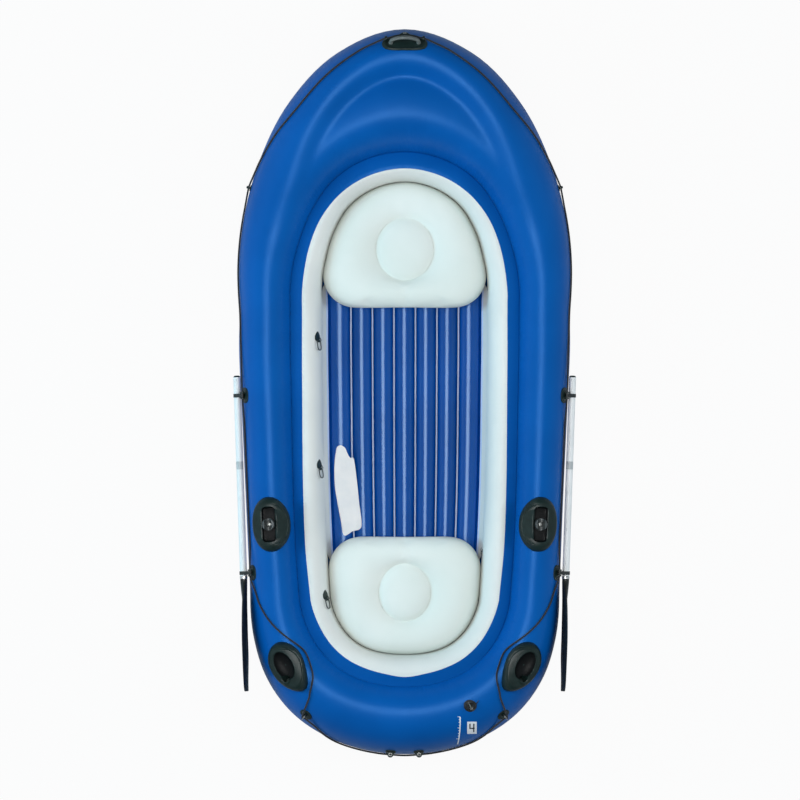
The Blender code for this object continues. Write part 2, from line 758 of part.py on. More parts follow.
def seat_outline(edge_y, centre_y):
    """The outline of a seat: a straight edge, two round corners and the cockpit's rounded end."""
    toward = 1 if centre_y > edge_y else -1
    room = SEAT_CLEARANCE
    corner_y = edge_y + toward * SEAT_CORNER
    side_x = half_width_at(WALL_SHARES, corner_y, room)
    points = [(0.0, edge_y), ((side_x - SEAT_CORNER) / 2, edge_y)]
    for step in range(7):
        angle = math.pi / 2 * step / 6
        x = side_x - SEAT_CORNER + SEAT_CORNER * math.sin(angle)
        points.append((x, corner_y - toward * SEAT_CORNER * math.cos(angle)))
    low, _ = ray_of(side_x, corner_y)
    last = 0.0 if toward > 0 else float(LAST_RAY)
    for step in range(1, 13):
        ray = mix(low, last, step / 12)
        points.append(plan_point(ray, reach(WALL_SHARES, ray) - room))
    right = even_steps(points, SEAT_STEPS // 2)
    return right + [(-x, y) for x, y in reversed(right[1:-1])]


def even_steps(points, count):
    """Points at even steps along a line, both ends included."""
    lengths = [0.0]
    for (ax, ay), (bx, by) in zip(points, points[1:]):
        lengths.append(lengths[-1] + math.hypot(bx - ax, by - ay))
    found = []
    for step in range(count + 1):
        aim = lengths[-1] * step / count
        low = max(i for i in range(len(points) - 1) if lengths[i] <= aim + 1e-9)
        share = (aim - lengths[low]) / (lengths[low + 1] - lengths[low])
        found.append(tuple(mix(a, b, min(1.0, share)) for a, b in zip(points[low], points[low + 1])))
    return found


def seat(name, edge_y, centre_y, disc):
    """A seat cushion with a full crown, drawn-in sides and a round sewn disc in the middle."""
    outline = [Vector((x, y - centre_y, 0)) for x, y in seat_outline(edge_y, centre_y)]
    height = SEAT_TOP - SEAT_BOTTOM
    seam = []
    for point in outline:
        angle = math.atan2(point.y, point.x)
        seam.append(Vector((disc[0] * math.cos(angle), disc[1] * math.sin(angle), 0)))
    rings = []
    for share, level in SEAT_RINGS:
        lift = Vector((0, 0, height * level))
        rings.append([a.lerp(b, share) + lift for a, b in zip(outline, seam)])
    for share, level in DISC_RINGS:
        lift = Vector((0, 0, height * level))
        rings.append([b * share + lift for b in seam])
    return loft(name, rings, WHITE_VINYL, matrix=Matrix.Translation((0, centre_y, SEAT_BOTTOM)))


def ray_at(turn, y):
    """The ray on which the outer chamber's skin, at a turn, reaches a given place along the boat."""
    low, high = 0.0, float(LAST_RAY)
    for _ in range(30):
        middle = (low + high) / 2
        if outer_skin(middle, turn, 1).y > y:
            low = middle
        else:
            high = middle
    return low


def oval(half, sides, power=2.0):
    """A rounded outline of the given half sizes. A higher power has squarer corners."""
    points = []
    for i in range(sides):
        angle = 2 * math.pi * (i + 0.5) / sides
        c, s = math.cos(angle), math.sin(angle)
        x = half[0] * math.copysign(abs(c) ** (2 / power), c)
        points.append((x, half[1] * math.copysign(abs(s) ** (2 / power), s)))
    return points


def side_name(name, side):
    return f"{name}_{'right' if side > 0 else 'left'}"


def ride_on(thing, carrier):
    """Parents a piece to the one that carries it, and leaves it in place."""
    thing.parent = carrier
    thing.matrix_parent_inverse = carrier.matrix_world.inverted()


def washer(name, profile, sides, look, matrix):
    """A turned ring with an open middle, from its closed profile."""
    rings = []
    for i in range(sides):
        angle = 2 * math.pi * i / sides
        rings.append([Vector((r * math.cos(angle), r * math.sin(angle), z)) for r, z in profile])
    return loft(name, rings, look, closed=True, matrix=matrix)


def grommet(name, matrix, hole, barrel, flange, depth):
    """A metal eyelet: a flange that lies on the surface and a barrel that goes down into the hole."""
    rim = GROMMET_RIM
    profile = [(hole, -depth), (barrel, -depth), (barrel, 0), (flange, 0), (flange, rim), (hole, rim)]
    return washer(name, profile, COARSE_SIDES, STEEL, matrix)


def bow_handle(room):
    """The carrying handle on the nose: a rubber pad with a towing eye, and its grip."""
    patch = Patch(outer_skin, *HANDLE_SHARES, 1)
    outline = []
    for x, y in oval(HANDLE_HALF, 22, 2.4):
        outline.append((HANDLE_EYE if x > 0 and abs(y) < HANDLE_EYE_HALF else x, y))
    base = pad("bow_handle_pad", patch, outline, PAD_HEIGHT, PAD_LEVELS)
    for side in (-1, 1):
        line_eye(base, handle_eye(side), PAD_HEIGHT + LINE_ON_PAD)
    cut(base, room)
    eye_out = HANDLE_EYE - 2.2 * GROMMET_FLANGE
    frame = patch_matrix(Patch(outer_skin, 0.0, patch.turn - eye_out / patch.outward_rate, 1))
    cut(base, post("towing_hole", GROMMET_BARREL + GAP, -SINK, 4 * PAD_HEIGHT, frame))
    lifted = frame @ Matrix.Translation((0, 0, PAD_HEIGHT + GAP))
    grommet("towing_eye", lifted, GROMMET_HOLE, GROMMET_BARREL, GROMMET_FLANGE, PAD_HEIGHT - 2 * GROMMET_RIM)
    points = []
    low = PAD_HEIGHT + GAP
    for step in range(GRIP_STEPS + 1):
        angle = math.pi * step / GRIP_STEPS
        height = mix(low + GRIP_RADIUS, GRIP_HEIGHT, math.sin(angle))
        points.append(patch.wrap(-GRIP_INSET, GRIP_HALF * math.cos(angle), height))
    feet = [patch.wrap(-GRIP_INSET, way * GRIP_HALF, low) for way in (1, -1)]
    tube("bow_handle_grip", [feet[0]] + points + [feet[1]], GRIP_RADIUS, BLACK_RUBBER)


def handle_eye(side):
    """The place near one end of the handle's pad where the grab line runs through it."""
    middle = Patch(outer_skin, *HANDLE_SHARES, 1)
    turn = middle.turn - HANDLE_OVER / middle.outward_rate
    return Patch(outer_skin, LINE_EYE_ALONG / middle.forward_rate, turn, side)


def line_eye(base, patch, height):
    """Adds a moulded eye to a pad, with its hole along the grab line."""
    along = patch_matrix(patch, height=height) @ Matrix.Rotation(math.pi / 2, 4, "X")
    half = LOOP_WIDTH / 2
    fuse(base, post("loop_body", LOOP_OUTER, -half, half, along))
    cut(base, post("loop_hole", LOOP_HOLE, -2 * half, 2 * half, along))


def bow_loop(side, room):
    """A rubber loop that the grab line runs through, low on the bow's shoulder."""
    patch = Patch(outer_skin, BOW_LOOP_RAY, BOW_LOOP_TURN, side)
    outline = oval((LOOP_PAD, LOOP_PAD), COARSE_SIDES)
    base = pad(side_name("bow_loop", side), patch, outline, LOOP_PAD_HEIGHT, SLAB_LEVELS)
    line_eye(base, patch, EYE_HEIGHT)
    cut(base, room)


def quarter_loop(side, room):
    """A rubber patch with a lug on the stern quarter. A steel ring through the lug holds the grab line."""
    patch = Patch(outer_skin, *QUARTER_SHARES, side)
    outline = oval(QUARTER_HALF, ROUND_SIDES)
    base = pad(side_name("quarter_patch", side), patch, outline, QUARTER_PAD, PAD_LEVELS)
    frame = patch_matrix(patch)
    across = patch_matrix(patch, height=LUG_SIZE / 2) @ Matrix.Rotation(math.pi / 2, 4, "Y")
    fuse(base, box("lug", (0, 0, LUG_SIZE / 2), (LUG_WIDTH, LUG_SIZE, LUG_SIZE), matrix=frame))
    cut(base, post("lug_hole", LUG_HOLE, -LUG_SIZE, LUG_SIZE, across, sides=COARSE_SIDES), room)
    points = []
    for step in range(RING_STEPS):
        angle = 2 * math.pi * step / RING_STEPS
        height = LUG_SIZE / 2 + RING_RADIUS * (1 + math.cos(angle))
        points.append(frame @ Vector((RING_RADIUS * math.sin(angle), 0, height)))
    tube(side_name("quarter_ring", side), points, RING_WIRE, STEEL, closed=True)


def stern_tab(side, room):
    """A level rubber tab with a steel eyelet, on the outer side of the stern."""
    distance = Band(LAST_RAY).edge
    ray = LAST_RAY - math.asin(STERN_TAB_X / distance) / (math.pi / 2 / FAN_RAYS)
    patch = Patch(outer_skin, ray, STERN_TAB_TURN, side)
    outline = oval((TAB_HALF, TAB_HALF), COARSE_SIDES, 3.0)
    base = pad(side_name("stern_tab", side), patch, outline, TAB_PAD, SLAB_LEVELS)
    up = Vector((0, 0, 1))
    out = Vector((patch.normal.x, patch.normal.y, 0)).normalized()
    frame = frame_matrix(patch.centre, out.cross(up), out, up)
    shape = [(x * TAB_HALF, y * TAB_LENGTH) for x, y in TAB_SHARES]
    lug = prism("tab_lug", shape, -TAB_THICKNESS / 2, TAB_THICKNESS / 2, matrix=frame)
    eye = frame @ Matrix.Translation((0, TAB_EYE_OUT, TAB_THICKNESS / 2 + GAP))
    fuse(base, lug)
    cut(base, post("tab_hole", GROMMET_BARREL + GAP, -2 * TAB_THICKNESS, TAB_THICKNESS, eye), room)
    depth = TAB_THICKNESS - GROMMET_RIM
    grommet(side_name("stern_eyelet", side), eye, GROMMET_HOLE, GROMMET_BARREL, GROMMET_FLANGE, depth)


def keeper_patch(side, place_index):
    """Where a keeper sits. The front one is as far ahead of the rear one as the oar's bare shaft asks."""
    rear = Patch(outer_skin, *REAR_KEEPER_SHARES, side)
    if place_index:
        return rear
    ahead = OAR_LENGTH - BLADE_LENGTH - BLADE_BEHIND - HEAD_AHEAD
    ray = ray_at(FRONT_KEEPER_TURN, rear.centre.y + ahead)
    return Patch(outer_skin, ray, FRONT_KEEPER_TURN, side)


def oar_frame(side):
    """The stowed oar's frame: origin on the middle of its head, +Y forward along the shaft."""
    places = []
    for place_index, (out, height) in enumerate((OAR_FRONT_HANG, OAR_REAR_HANG)):
        places.append(keeper_patch(side, place_index).rigid(out, 0, height))
    front, rear = places
    forward = (front - rear).normalized()
    across = forward.cross(Vector((0, 0, 1))).normalized()
    return frame_matrix(front + forward * HEAD_AHEAD, across, forward, across.cross(forward))


def along_oar(side, place_index):
    """A keeper's place, turned to lie along its oar."""
    return keeper_patch(side, place_index).face(oar_frame(side).col[1].xyz)


def keeper(side, place_index, room):
    """An oar keeper: a patch with two cheeks that the line runs through, and a strap round line and oar."""
    place = ("front", "rear")[place_index]
    patch = along_oar(side, place_index)
    outline = oval(KEEPER_HALF, ROUND_SIDES, 2.6)
    base = pad(side_name(f"oar_keeper_{place}", side), patch, outline, KEEPER_PAD, PAD_LEVELS)
    frame = patch_matrix(patch)
    for way in (-1, 1):
        size = (4 * KEEPER_EYE, CHEEK_WIDTH, KEEPER_LINE + 2 * KEEPER_EYE)
        fuse(base, box("cheek", (0, way * (CHEEK_GAP + CHEEK_WIDTH) / 2, size[2] / 2), size, matrix=frame))
    eye = patch_matrix(patch, height=KEEPER_LINE) @ Matrix.Rotation(math.pi / 2, 4, "X")
    cut(base, post("eye_hole", KEEPER_EYE, -CHEEK_GAP, CHEEK_GAP, eye, sides=COARSE_SIDES), room)
    shaft = oar_frame(side)
    behind = shaft.inverted() @ patch.rigid(0, 0, KEEPER_LINE)
    strap_at = shaft @ Matrix.Translation((0, behind.y, 0))
    small = ROPE_RADIUS + STRAP_CLEARANCE / 2
    large = OAR_RADIUS + STRAP_CLEARANCE
    strap(side_name(f"keeper_strap_{place}", side), strap_at, (behind.x, behind.z), small, large)


def strap(name, frame, post_at, small, large):
    """A rubber band drawn tight round two round things: the oar at the origin and the line."""
    distance = math.hypot(*post_at)
    lean = math.atan2(post_at[1], post_at[0])
    slope = math.acos((large - small) / distance)
    path = []
    for step in range(13):
        path.append((0.0, 0.0, large, lean + mix(slope, 2 * math.pi - slope, step / 12)))
    for step in range(6):
        path.append((*post_at, small, lean + mix(-slope, slope, step / 5)))
    rings = []
    for x, z, radius, angle in path:
        ring = []
        for extra, y in ((0, -0.5), (0, 0.5), (1, 0.5), (1, -0.5)):
            size = radius + extra * STRAP_THICKNESS
            ring.append(Vector((x + size * math.cos(angle), y * STRAP_WIDTH, z + size * math.sin(angle))))
        rings.append(ring)
    return loft(name, rings, BLACK_RUBBER, closed=True, matrix=frame)


def oarlock(side, room):
    """A rubber oarlock: a domed base with a long slot, a round fork that turns in it, and its steel pin."""
    patch = Patch(outer_skin, *OARLOCK_SHARES, side)
    outline = oval(OARLOCK_HALF, 24, 2.2)
    base = pad(side_name("oarlock_base", side), patch, outline, OARLOCK_DOME, DOME_LEVELS)
    frame = patch_matrix(patch)
    above = 2 * OARLOCK_DOME
    bore = PIN_RADIUS + PIN_CLEARANCE
    slot = box("slot", (0, 0, SLOT_FLOOR + above / 2), (SLOT_WIDTH, SLOT_LENGTH, above), matrix=frame)
    cut(base, slot, post("pin_hole", bore, PIN_FOOT - PIN_CLEARANCE, above, frame), room)
    name = side_name("oarlock_fork", side)
    fork = post(name, FORK_RADIUS, SLOT_FLOOR + GAP, FORK_TOP, frame, BLACK_PLASTIC, 24)
    groove_size = (FORK_GROOVE, 3 * FORK_RADIUS, FORK_TOP)
    groove = box("groove", (0, 0, FORK_SEAT + FORK_TOP / 2), groove_size, matrix=frame)
    under_head = FORK_SEAT - PIN_HEAD - PIN_CLEARANCE
    head_room = PIN_HEAD_RADIUS + PIN_CLEARANCE
    counterbore = post("counterbore", head_room, under_head - PIN_CLEARANCE, above, frame)
    cut(fork, groove, post("fork_bore", bore, 0, above, frame), counterbore)
    profile = [(PIN_RADIUS, PIN_FOOT), (PIN_RADIUS, under_head), (PIN_HEAD_RADIUS, under_head),
               (PIN_HEAD_RADIUS, under_head + PIN_HEAD)]
    turned(side_name("oarlock_pin", side), profile, ROUND_SIDES, STEEL, frame)


def rod_holder(side, room):
    """A rubber rod holder: an egg-shaped dome with a scooped mouth and a leaning bore for the rod's butt."""
    patch = Patch(outer_skin, *ROD_SHARES, side)
    outline = [(x * (1 + ROD_EGG_SHARE * y / ROD_HALF[1]), y) for x, y in oval(ROD_HALF, 24)]
    base = pad(side_name("rod_holder", side), patch, outline, ROD_DOME, DOME_LEVELS)
    rings = []
    for level in SCOOP_LEVELS:
        size = math.sqrt(1 - level * level)
        height = ROD_DOME * SCOOP_RISE_SHARE + SCOOP_HALF[2] * level
        outline = oval(SCOOP_HALF[:2], 16)
        rings.append([patch.rigid(x * size, SCOOP_FORWARD + y * size, height) for x, y in outline])
    lean = (patch.rigid(*ROD_LEAN) - patch.centre).normalized()
    across = lean.cross(patch.outward).normalized()
    mouth = patch.rigid(*ROD_MOUTH)
    bore_frame = frame_matrix(mouth, across.cross(lean), across, lean)
    cut(base, loft("scoop", rings), post("rod_bore", ROD_BORE, -ROD_DOME, ROD_BORE_DEPTH, bore_frame), room)


def pocket(host, name, radius, depth, matrix):
    """A round blind hole in a soft body, for the barrel of a valve."""
    cut(host, post(name, radius + GAP, -depth - GAP, POCKET_ABOVE, matrix, sides=20))


def main_valve(host, room):
    """The main valve: a flanged body let into the stern tube, its plug, and a ribbed screw cap."""
    patch = Patch(outer_skin, *VALVE_SHARES, 1)
    frame = patch_matrix(patch)
    pocket(host, "valve_pocket", VALVE_BARREL, VALVE_DEPTH, frame)
    outline = oval((VALVE_FLANGE, VALVE_FLANGE), 20)
    body = pad("main_valve_body", patch, outline, VALVE_FLANGE_TOP, SLAB_LEVELS, BLACK_PLASTIC)
    cut(body, room)
    fuse(body, post("barrel", VALVE_BARREL, -VALVE_DEPTH, VALVE_FLANGE_TOP, frame, sides=20))
    cut(body, post("valve_bore", VALVE_BORE, -2 * VALVE_DEPTH, VALVE_DEPTH, frame, sides=20))
    post("main_valve_plug", VALVE_BORE - GAP, -VALVE_DEPTH / 2, VALVE_PLUG_TOP, frame, GREY_PLASTIC, 20)
    low = VALVE_FLANGE_TOP + GAP
    edge = VALVE_WALL / 2
    profile = [(VALVE_CAP, low), (VALVE_CAP, VALVE_CAP_TOP - edge), (VALVE_CAP - edge, VALVE_CAP_TOP)]
    cap = turned("main_valve_cap", profile, 32, BLACK_PLASTIC, frame, ribs=VALVE_CAP_RIBS)
    inside = VALVE_CAP - VALVE_WALL
    cut(cap, post("cap_room", inside, -low, VALVE_CAP_TOP - VALVE_WALL, frame, sides=20))


def wall_valve(host, room):
    """The inner chamber's valve, with its moulded plug pressed in, on the cockpit wall."""
    patch = Patch(inner_skin, WALL_VALVE_RAY, WALL_VALVE_TURN, 1)
    frame = patch_matrix(patch)
    pocket(host, "wall_pocket", WALL_VALVE_BARREL, WALL_VALVE_DEPTH, frame)
    outline = oval((WALL_VALVE_FLANGE, WALL_VALVE_FLANGE), ROUND_SIDES)
    body = pad("inner_chamber_valve", patch, outline, WALL_VALVE_RIM, SLAB_LEVELS, BLACK_PLASTIC)
    cut(body, room)
    barrel, middle = WALL_VALVE_BARREL, WALL_VALVE_RIM / 2
    plug = barrel * PLUG_SHARE
    profile = [(barrel, -WALL_VALVE_DEPTH), (barrel, middle), (plug, middle), (plug, WALL_VALVE_PLUG)]
    fuse(body, turned("barrel", profile, ROUND_SIDES, matrix=frame))


def stepped_valve(name, barrel, flange, depth, rim, plug_top, look, matrix):
    """A small closed valve: a barrel, a flange that ends level with the pocket's mouth, and a plug."""
    plug = barrel * PLUG_SHARE
    profile = [(barrel, -depth), (barrel, -rim), (flange, -rim), (flange, 0), (plug, 0), (plug, plug_top)]
    return turned(name, profile, ROUND_SIDES, look, matrix)


def floor_valve(host):
    """The floor's valve, sunk in the middle tube under the bow seat."""
    y = BOW_SEAT_CENTRE + FLOOR_VALVE_AHEAD
    frame = Matrix.Translation((0, y, FLOOR_TOP - FLOOR_VALVE_RIM))
    pocket(host, "floor_pocket", FLOOR_VALVE_RADIUS, FLOOR_VALVE_DEPTH, frame)
    barrel = FLOOR_VALVE_RADIUS * PLUG_SHARE
    stepped_valve("floor_valve", barrel, FLOOR_VALVE_RADIUS, FLOOR_VALVE_DEPTH, FLOOR_VALVE_RIM,
                  FLOOR_VALVE_PLUG, BLACK_PLASTIC, frame)


def seat_valve(host, name, edge_y, facing):
    """A seat's valve, low on its straight edge where the cushion's bulge hides it from above."""
    place = (0, edge_y - facing * SEAT_VALVE_INSET, SEAT_BOTTOM + SEAT_VALVE_HEIGHT)
    frame = Matrix.Translation(place) @ Matrix.Rotation(-facing * math.pi / 2, 4, "X")
    pocket(host, "seat_pocket", SEAT_VALVE_FLANGE, SEAT_VALVE_DEPTH, frame)
    valve = stepped_valve(name, SEAT_VALVE_BARREL, SEAT_VALVE_FLANGE, SEAT_VALVE_DEPTH, SEAT_VALVE_RIM,
                          SEAT_VALVE_PLUG, WHITE_VINYL, frame)
    ride_on(valve, host)


def gear_loop(index, ray, room):
    """A webbing patch with a sleeve on the cockpit's left wall, and the ring that hinges in the sleeve."""
    patch = Patch(inner_skin, ray, GEAR_LOOP_TURN, -1)
    outline = oval(WEBBING_HALF, COARSE_SIDES, 3.0)
    tab = pad(f"gear_loop_tab_{index}", patch, outline, WEBBING_THICKNESS, SLAB_LEVELS)
    frame = patch_matrix(patch, 0, -WEBBING_HALF[1], GEAR_RING_LIFT)
    across = frame @ Matrix.Rotation(math.pi / 2, 4, "Y")
    half = GEAR_SLEEVE_WIDTH / 2
    sleeve = post("sleeve", SLEEVE_RADIUS, -half, half, across, sides=COARSE_SIDES)
    bore = post("sleeve_bore", SLEEVE_BORE, -2 * half, 2 * half, across, sides=COARSE_SIDES)
    root = box("sleeve_root", (0, SLEEVE_RADIUS, -GEAR_RING_LIFT / 2),
               (1.8 * half, 1.6 * SLEEVE_RADIUS, GEAR_RING_LIFT + SINK / 4), matrix=frame)
    fuse(tab, sleeve, root)
    cut(tab, bore, room)
    resting = frame @ Matrix.Rotation(-GEAR_RING_REST, 4, "X")
    points = [resting @ Vector((x * GEAR_RING_HALF, y * GEAR_RING_DROP, 0)) for x, y in GEAR_RING_SHARES]
    ring = tube(f"gear_loop_ring_{index}", points, GEAR_RING_WIRE, GREY_PLASTIC, closed=True)
    set_origin(ring, frame.translation)


def gear_pouch():
    """A flat folded pouch that lies on the floor tubes."""
    rings = []
    for share, level in POUCH_LEVELS:
        ring = []
        for x, y in POUCH_SHARES:
            place = (x * share * POUCH_WIDTH / 2, y * share * POUCH_LENGTH / 2, level * POUCH_THICKNESS)
            ring.append(Vector(place))
        rings.append(ring)
    y = STERN_SEAT_EDGE + POUCH_AHEAD
    x = POUCH_OFF_WALL - half_width_at(WALL_SHARES, y, 0.0)
    loft("gear_pouch", rings, WHITE_VINYL, matrix=Matrix.Translation((x, y, FLOOR_TOP + GAP)))


def pipe(name, start, end, matrix):
    """A straight pipe of the shaft, from start to end behind the oar's head."""
    inner = OAR_RADIUS - OAR_WALL
    profile = [(inner, start), (OAR_RADIUS, start), (OAR_RADIUS, end), (inner, end)]
    return washer(name, profile, ROUND_SIDES, BARE_ALUMINIUM, matrix)


def oar(side):
    """One stowed oar: end cap, two pipes joined by a sleeve, and a spooned blade."""
    frame = oar_frame(side)
    aft = frame @ Matrix.Rotation(math.pi / 2, 4, "X")
    joint = OAR_LENGTH * OAR_JOINT_SHARE
    neck = OAR_LENGTH - BLADE_LENGTH
    half = SLEEVE_LENGTH / 2
    plug = OAR_RADIUS - OAR_WALL - GAP
    proud = OAR_RADIUS + SLEEVE_PROUD
    crown = OAR_RADIUS / 2
    cap = [(plug, 2 * CAP_LENGTH), (plug, CAP_LENGTH), (OAR_RADIUS, CAP_LENGTH),
           (OAR_RADIUS, CAP_LENGTH / 4), (crown, 0)]
    sleeve = [(plug, joint - 2 * half), (plug, joint - half), (proud, joint - half), (proud, joint + half),
              (plug, joint + half), (plug, joint + 2 * half)]
    shaft = pipe(side_name("oar_upper_shaft", side), CAP_LENGTH + GAP, joint - half - GAP, aft)
    carried = [
        turned(side_name("oar_cap", side), cap, ROUND_SIDES, BLACK_RUBBER, aft),
        turned(side_name("oar_sleeve", side), sleeve, ROUND_SIDES, BLACK_PLASTIC, aft),
        pipe(side_name("oar_lower_shaft", side), joint + half + GAP, neck, aft),
        blade(side, frame, neck),
    ]
    fuse(carried[3], post("blade_tang", plug, neck - 2 * CAP_LENGTH, neck + CAP_LENGTH, aft))
    for piece in carried:
        ride_on(piece, shaft)


def blade(side, frame, neck):
    """The blade, stowed on edge: a spooned plate that opens outboard, with a round neck."""
    rings = []
    for along, width, round_share in BLADE_STATIONS:
        half = BLADE_WIDTH / 2 * width
        spoon = BLADE_SPOON * width * (1 - round_share)
        thick = mix(BLADE_THICKNESS / 2, OAR_RADIUS, round_share)
        ring = []
        for step in range(ROUND_SIDES):
            angle = 2 * math.pi * step / ROUND_SIDES
            out = thick * math.cos(angle) + spoon * (math.sin(angle) ** 2 - BLADE_INSET_SHARE)
            ring.append(Vector((side * out, -neck - GAP - BLADE_LENGTH * along, half * math.sin(angle))))
        rings.append(ring)
    return loft(side_name("oar_blade", side), rings, BLACK_PLASTIC, matrix=frame)


def curve_at(knots, place):
    """A point of the smooth curve through knots, where place 0 is the first knot and 1 the second."""
    low = min(int(place), len(knots) - 2)
    t = place - low
    p0, p1, p2, p3 = (Vector(knots[min(max(i, 0), len(knots) - 1)]) for i in range(low - 1, low + 3))
    bend = (2 * p0 - 5 * p1 + 4 * p2 - p3) * t * t + (3 * p1 - p0 - 3 * p2 + p3) * t * t * t
    return (2 * p1 + (p2 - p0) * t + bend) / 2


def on_skin(route, count, side):
    """Points of the grab line along a smooth route that lies on the outer chamber."""
    points = []
    for step in range(count):
        ray, turn = curve_at(route, (len(route) - 1) * step / (count - 1))
        points.append(Patch(outer_skin, ray, turn, side).rigid(0, 0, ROPE_RADIUS + ROPE_STAND_OFF))
    return points


def through(patch, height, half_length):
    """Two points that carry the line straight through a fitting."""
    return [patch.rigid(0, half_length, height), patch.rigid(0, -half_length, height)]


def grab_line():
    """The grab line, whole, from under the bow handle's grip through every loop and round the stern."""
    handle = Patch(outer_skin, *HANDLE_SHARES, 1)
    on_pad = PAD_HEIGHT + LINE_ON_PAD
    halves = []
    for side in (1, -1):
        half = through(handle_eye(side), on_pad, LOOP_WIDTH)
        half += on_skin(NOSE_ROUTE, NOSE_STEPS, side)
        half += through(Patch(outer_skin, BOW_LOOP_RAY, BOW_LOOP_TURN, side), EYE_HEIGHT, LOOP_WIDTH)
        half += on_skin(SHOULDER_ROUTE, SHOULDER_STEPS, side)
        half += through(along_oar(side, 0), KEEPER_LINE, CHEEK_GAP)
        half += on_skin(SIDE_ROUTE, SIDE_STEPS, side)
        half += through(along_oar(side, 1), KEEPER_LINE, CHEEK_GAP)
        half += on_skin(QUARTER_ROUTE, QUARTER_STEPS, side)
        half += through(Patch(outer_skin, *QUARTER_SHARES, side), LUG_SIZE / 2 + RING_RADIUS, LUG_WIDTH)
        half += on_skin(STERN_ROUTE, STERN_STEPS, side)
        halves.append(half)
    stern = Patch(outer_skin, LAST_RAY, STERN_TURN, 1).rigid(0, 0, ROPE_RADIUS + ROPE_STAND_OFF)
    points = [handle.wrap(HANDLE_OVER, 0, on_pad)] + halves[0] + [stern] + halves[1][::-1]
    tube("grab_line", points, ROPE_RADIUS, BLACK_ROPE, closed=True)


def build():
    clear_scene()
    outer, outer_room = chamber("hull_outer_chamber", outer_section, BLUE_VINYL)
    inner, inner_room = chamber("hull_inner_chamber", inner_section, WHITE_VINYL)
    bottom_sheet()
    floor = floor_chamber()
    bow_seat = seat("bow_seat", BOW_SEAT_EDGE, BOW_SEAT_CENTRE, BOW_DISC)
    stern_seat = seat("stern_seat", STERN_SEAT_EDGE, STERN_SEAT_CENTRE, STERN_DISC)
    seat_valve(bow_seat, "bow_seat_valve", BOW_SEAT_EDGE, -1)
    seat_valve(stern_seat, "stern_seat_valve", STERN_SEAT_EDGE, 1)
    bow_handle(outer_room)
    for side in (-1, 1):
        bow_loop(side, outer_room)
        quarter_loop(side, outer_room)
        stern_tab(side, outer_room)
        keeper(side, 0, outer_room)
        keeper(side, 1, outer_room)
        oarlock(side, outer_room)
        rod_holder(side, outer_room)
        oar(side)
    main_valve(outer, outer_room)
    wall_valve(inner, inner_room)
    floor_valve(floor)
    for index, ray in enumerate(GEAR_LOOP_RAYS, start=1):
        gear_loop(index, ray, inner_room)
    gear_pouch()
    grab_line()


build()
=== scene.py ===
"""Looks of the inflatable fishing boat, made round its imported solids.

Metres, +Z up, bow at +Y, right-hand side at +X.
"""

import json
import math

import bmesh
import bpy
from mathutils import Matrix, Vector, noise

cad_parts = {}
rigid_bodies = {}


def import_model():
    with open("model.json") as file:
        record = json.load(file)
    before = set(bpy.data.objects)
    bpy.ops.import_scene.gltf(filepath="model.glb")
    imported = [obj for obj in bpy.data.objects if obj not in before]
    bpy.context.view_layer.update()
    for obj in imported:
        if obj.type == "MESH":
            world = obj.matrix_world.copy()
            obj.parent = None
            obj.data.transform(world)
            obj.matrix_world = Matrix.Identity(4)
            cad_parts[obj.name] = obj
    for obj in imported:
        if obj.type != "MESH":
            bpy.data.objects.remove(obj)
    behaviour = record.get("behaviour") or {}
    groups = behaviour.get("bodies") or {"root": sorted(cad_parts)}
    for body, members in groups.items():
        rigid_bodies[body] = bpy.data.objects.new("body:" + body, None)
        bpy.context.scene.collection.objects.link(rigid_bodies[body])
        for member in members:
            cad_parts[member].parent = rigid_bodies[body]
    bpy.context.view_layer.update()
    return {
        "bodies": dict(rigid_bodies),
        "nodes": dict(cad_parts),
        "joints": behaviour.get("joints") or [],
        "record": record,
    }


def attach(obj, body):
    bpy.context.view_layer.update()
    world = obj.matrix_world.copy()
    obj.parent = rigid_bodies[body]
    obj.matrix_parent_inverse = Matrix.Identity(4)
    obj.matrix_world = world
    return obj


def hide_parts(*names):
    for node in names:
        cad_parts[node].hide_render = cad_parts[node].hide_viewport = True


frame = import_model()
NODES = frame["nodes"]
JOINTS = {joint["name"]: joint for joint in frame["joints"]}

# Sizes of the hull, as in the solids.
HULL_LENGTH = 2.819
HALF_BEAM = 0.644
GAP = 0.0003
BASE = 0.0023
SIDE_TOP = 0.300
STERN_TOP = 0.318
BOW_TOP = 0.402
NOSE_TOP = 0.420
SIDE_EQUATOR = 0.150
BOW_EQUATOR = 0.268
SIDE_CREASE = 0.222
STERN_CREASE = 0.235
BOW_CREASE = 0.252
INNER_TOP = 0.262
INNER_BOW_TOP = 0.285
INNER_EQUATOR = 0.132
# The welded web between the two chambers fills the bottom of their valley.
VALLEY_FILL = 0.015
FAN_RAYS = 6
SIDE_RAYS = 6
LAST_RAY = 2 * FAN_RAYS + SIDE_RAYS
FAN = math.pi / 2 / FAN_RAYS

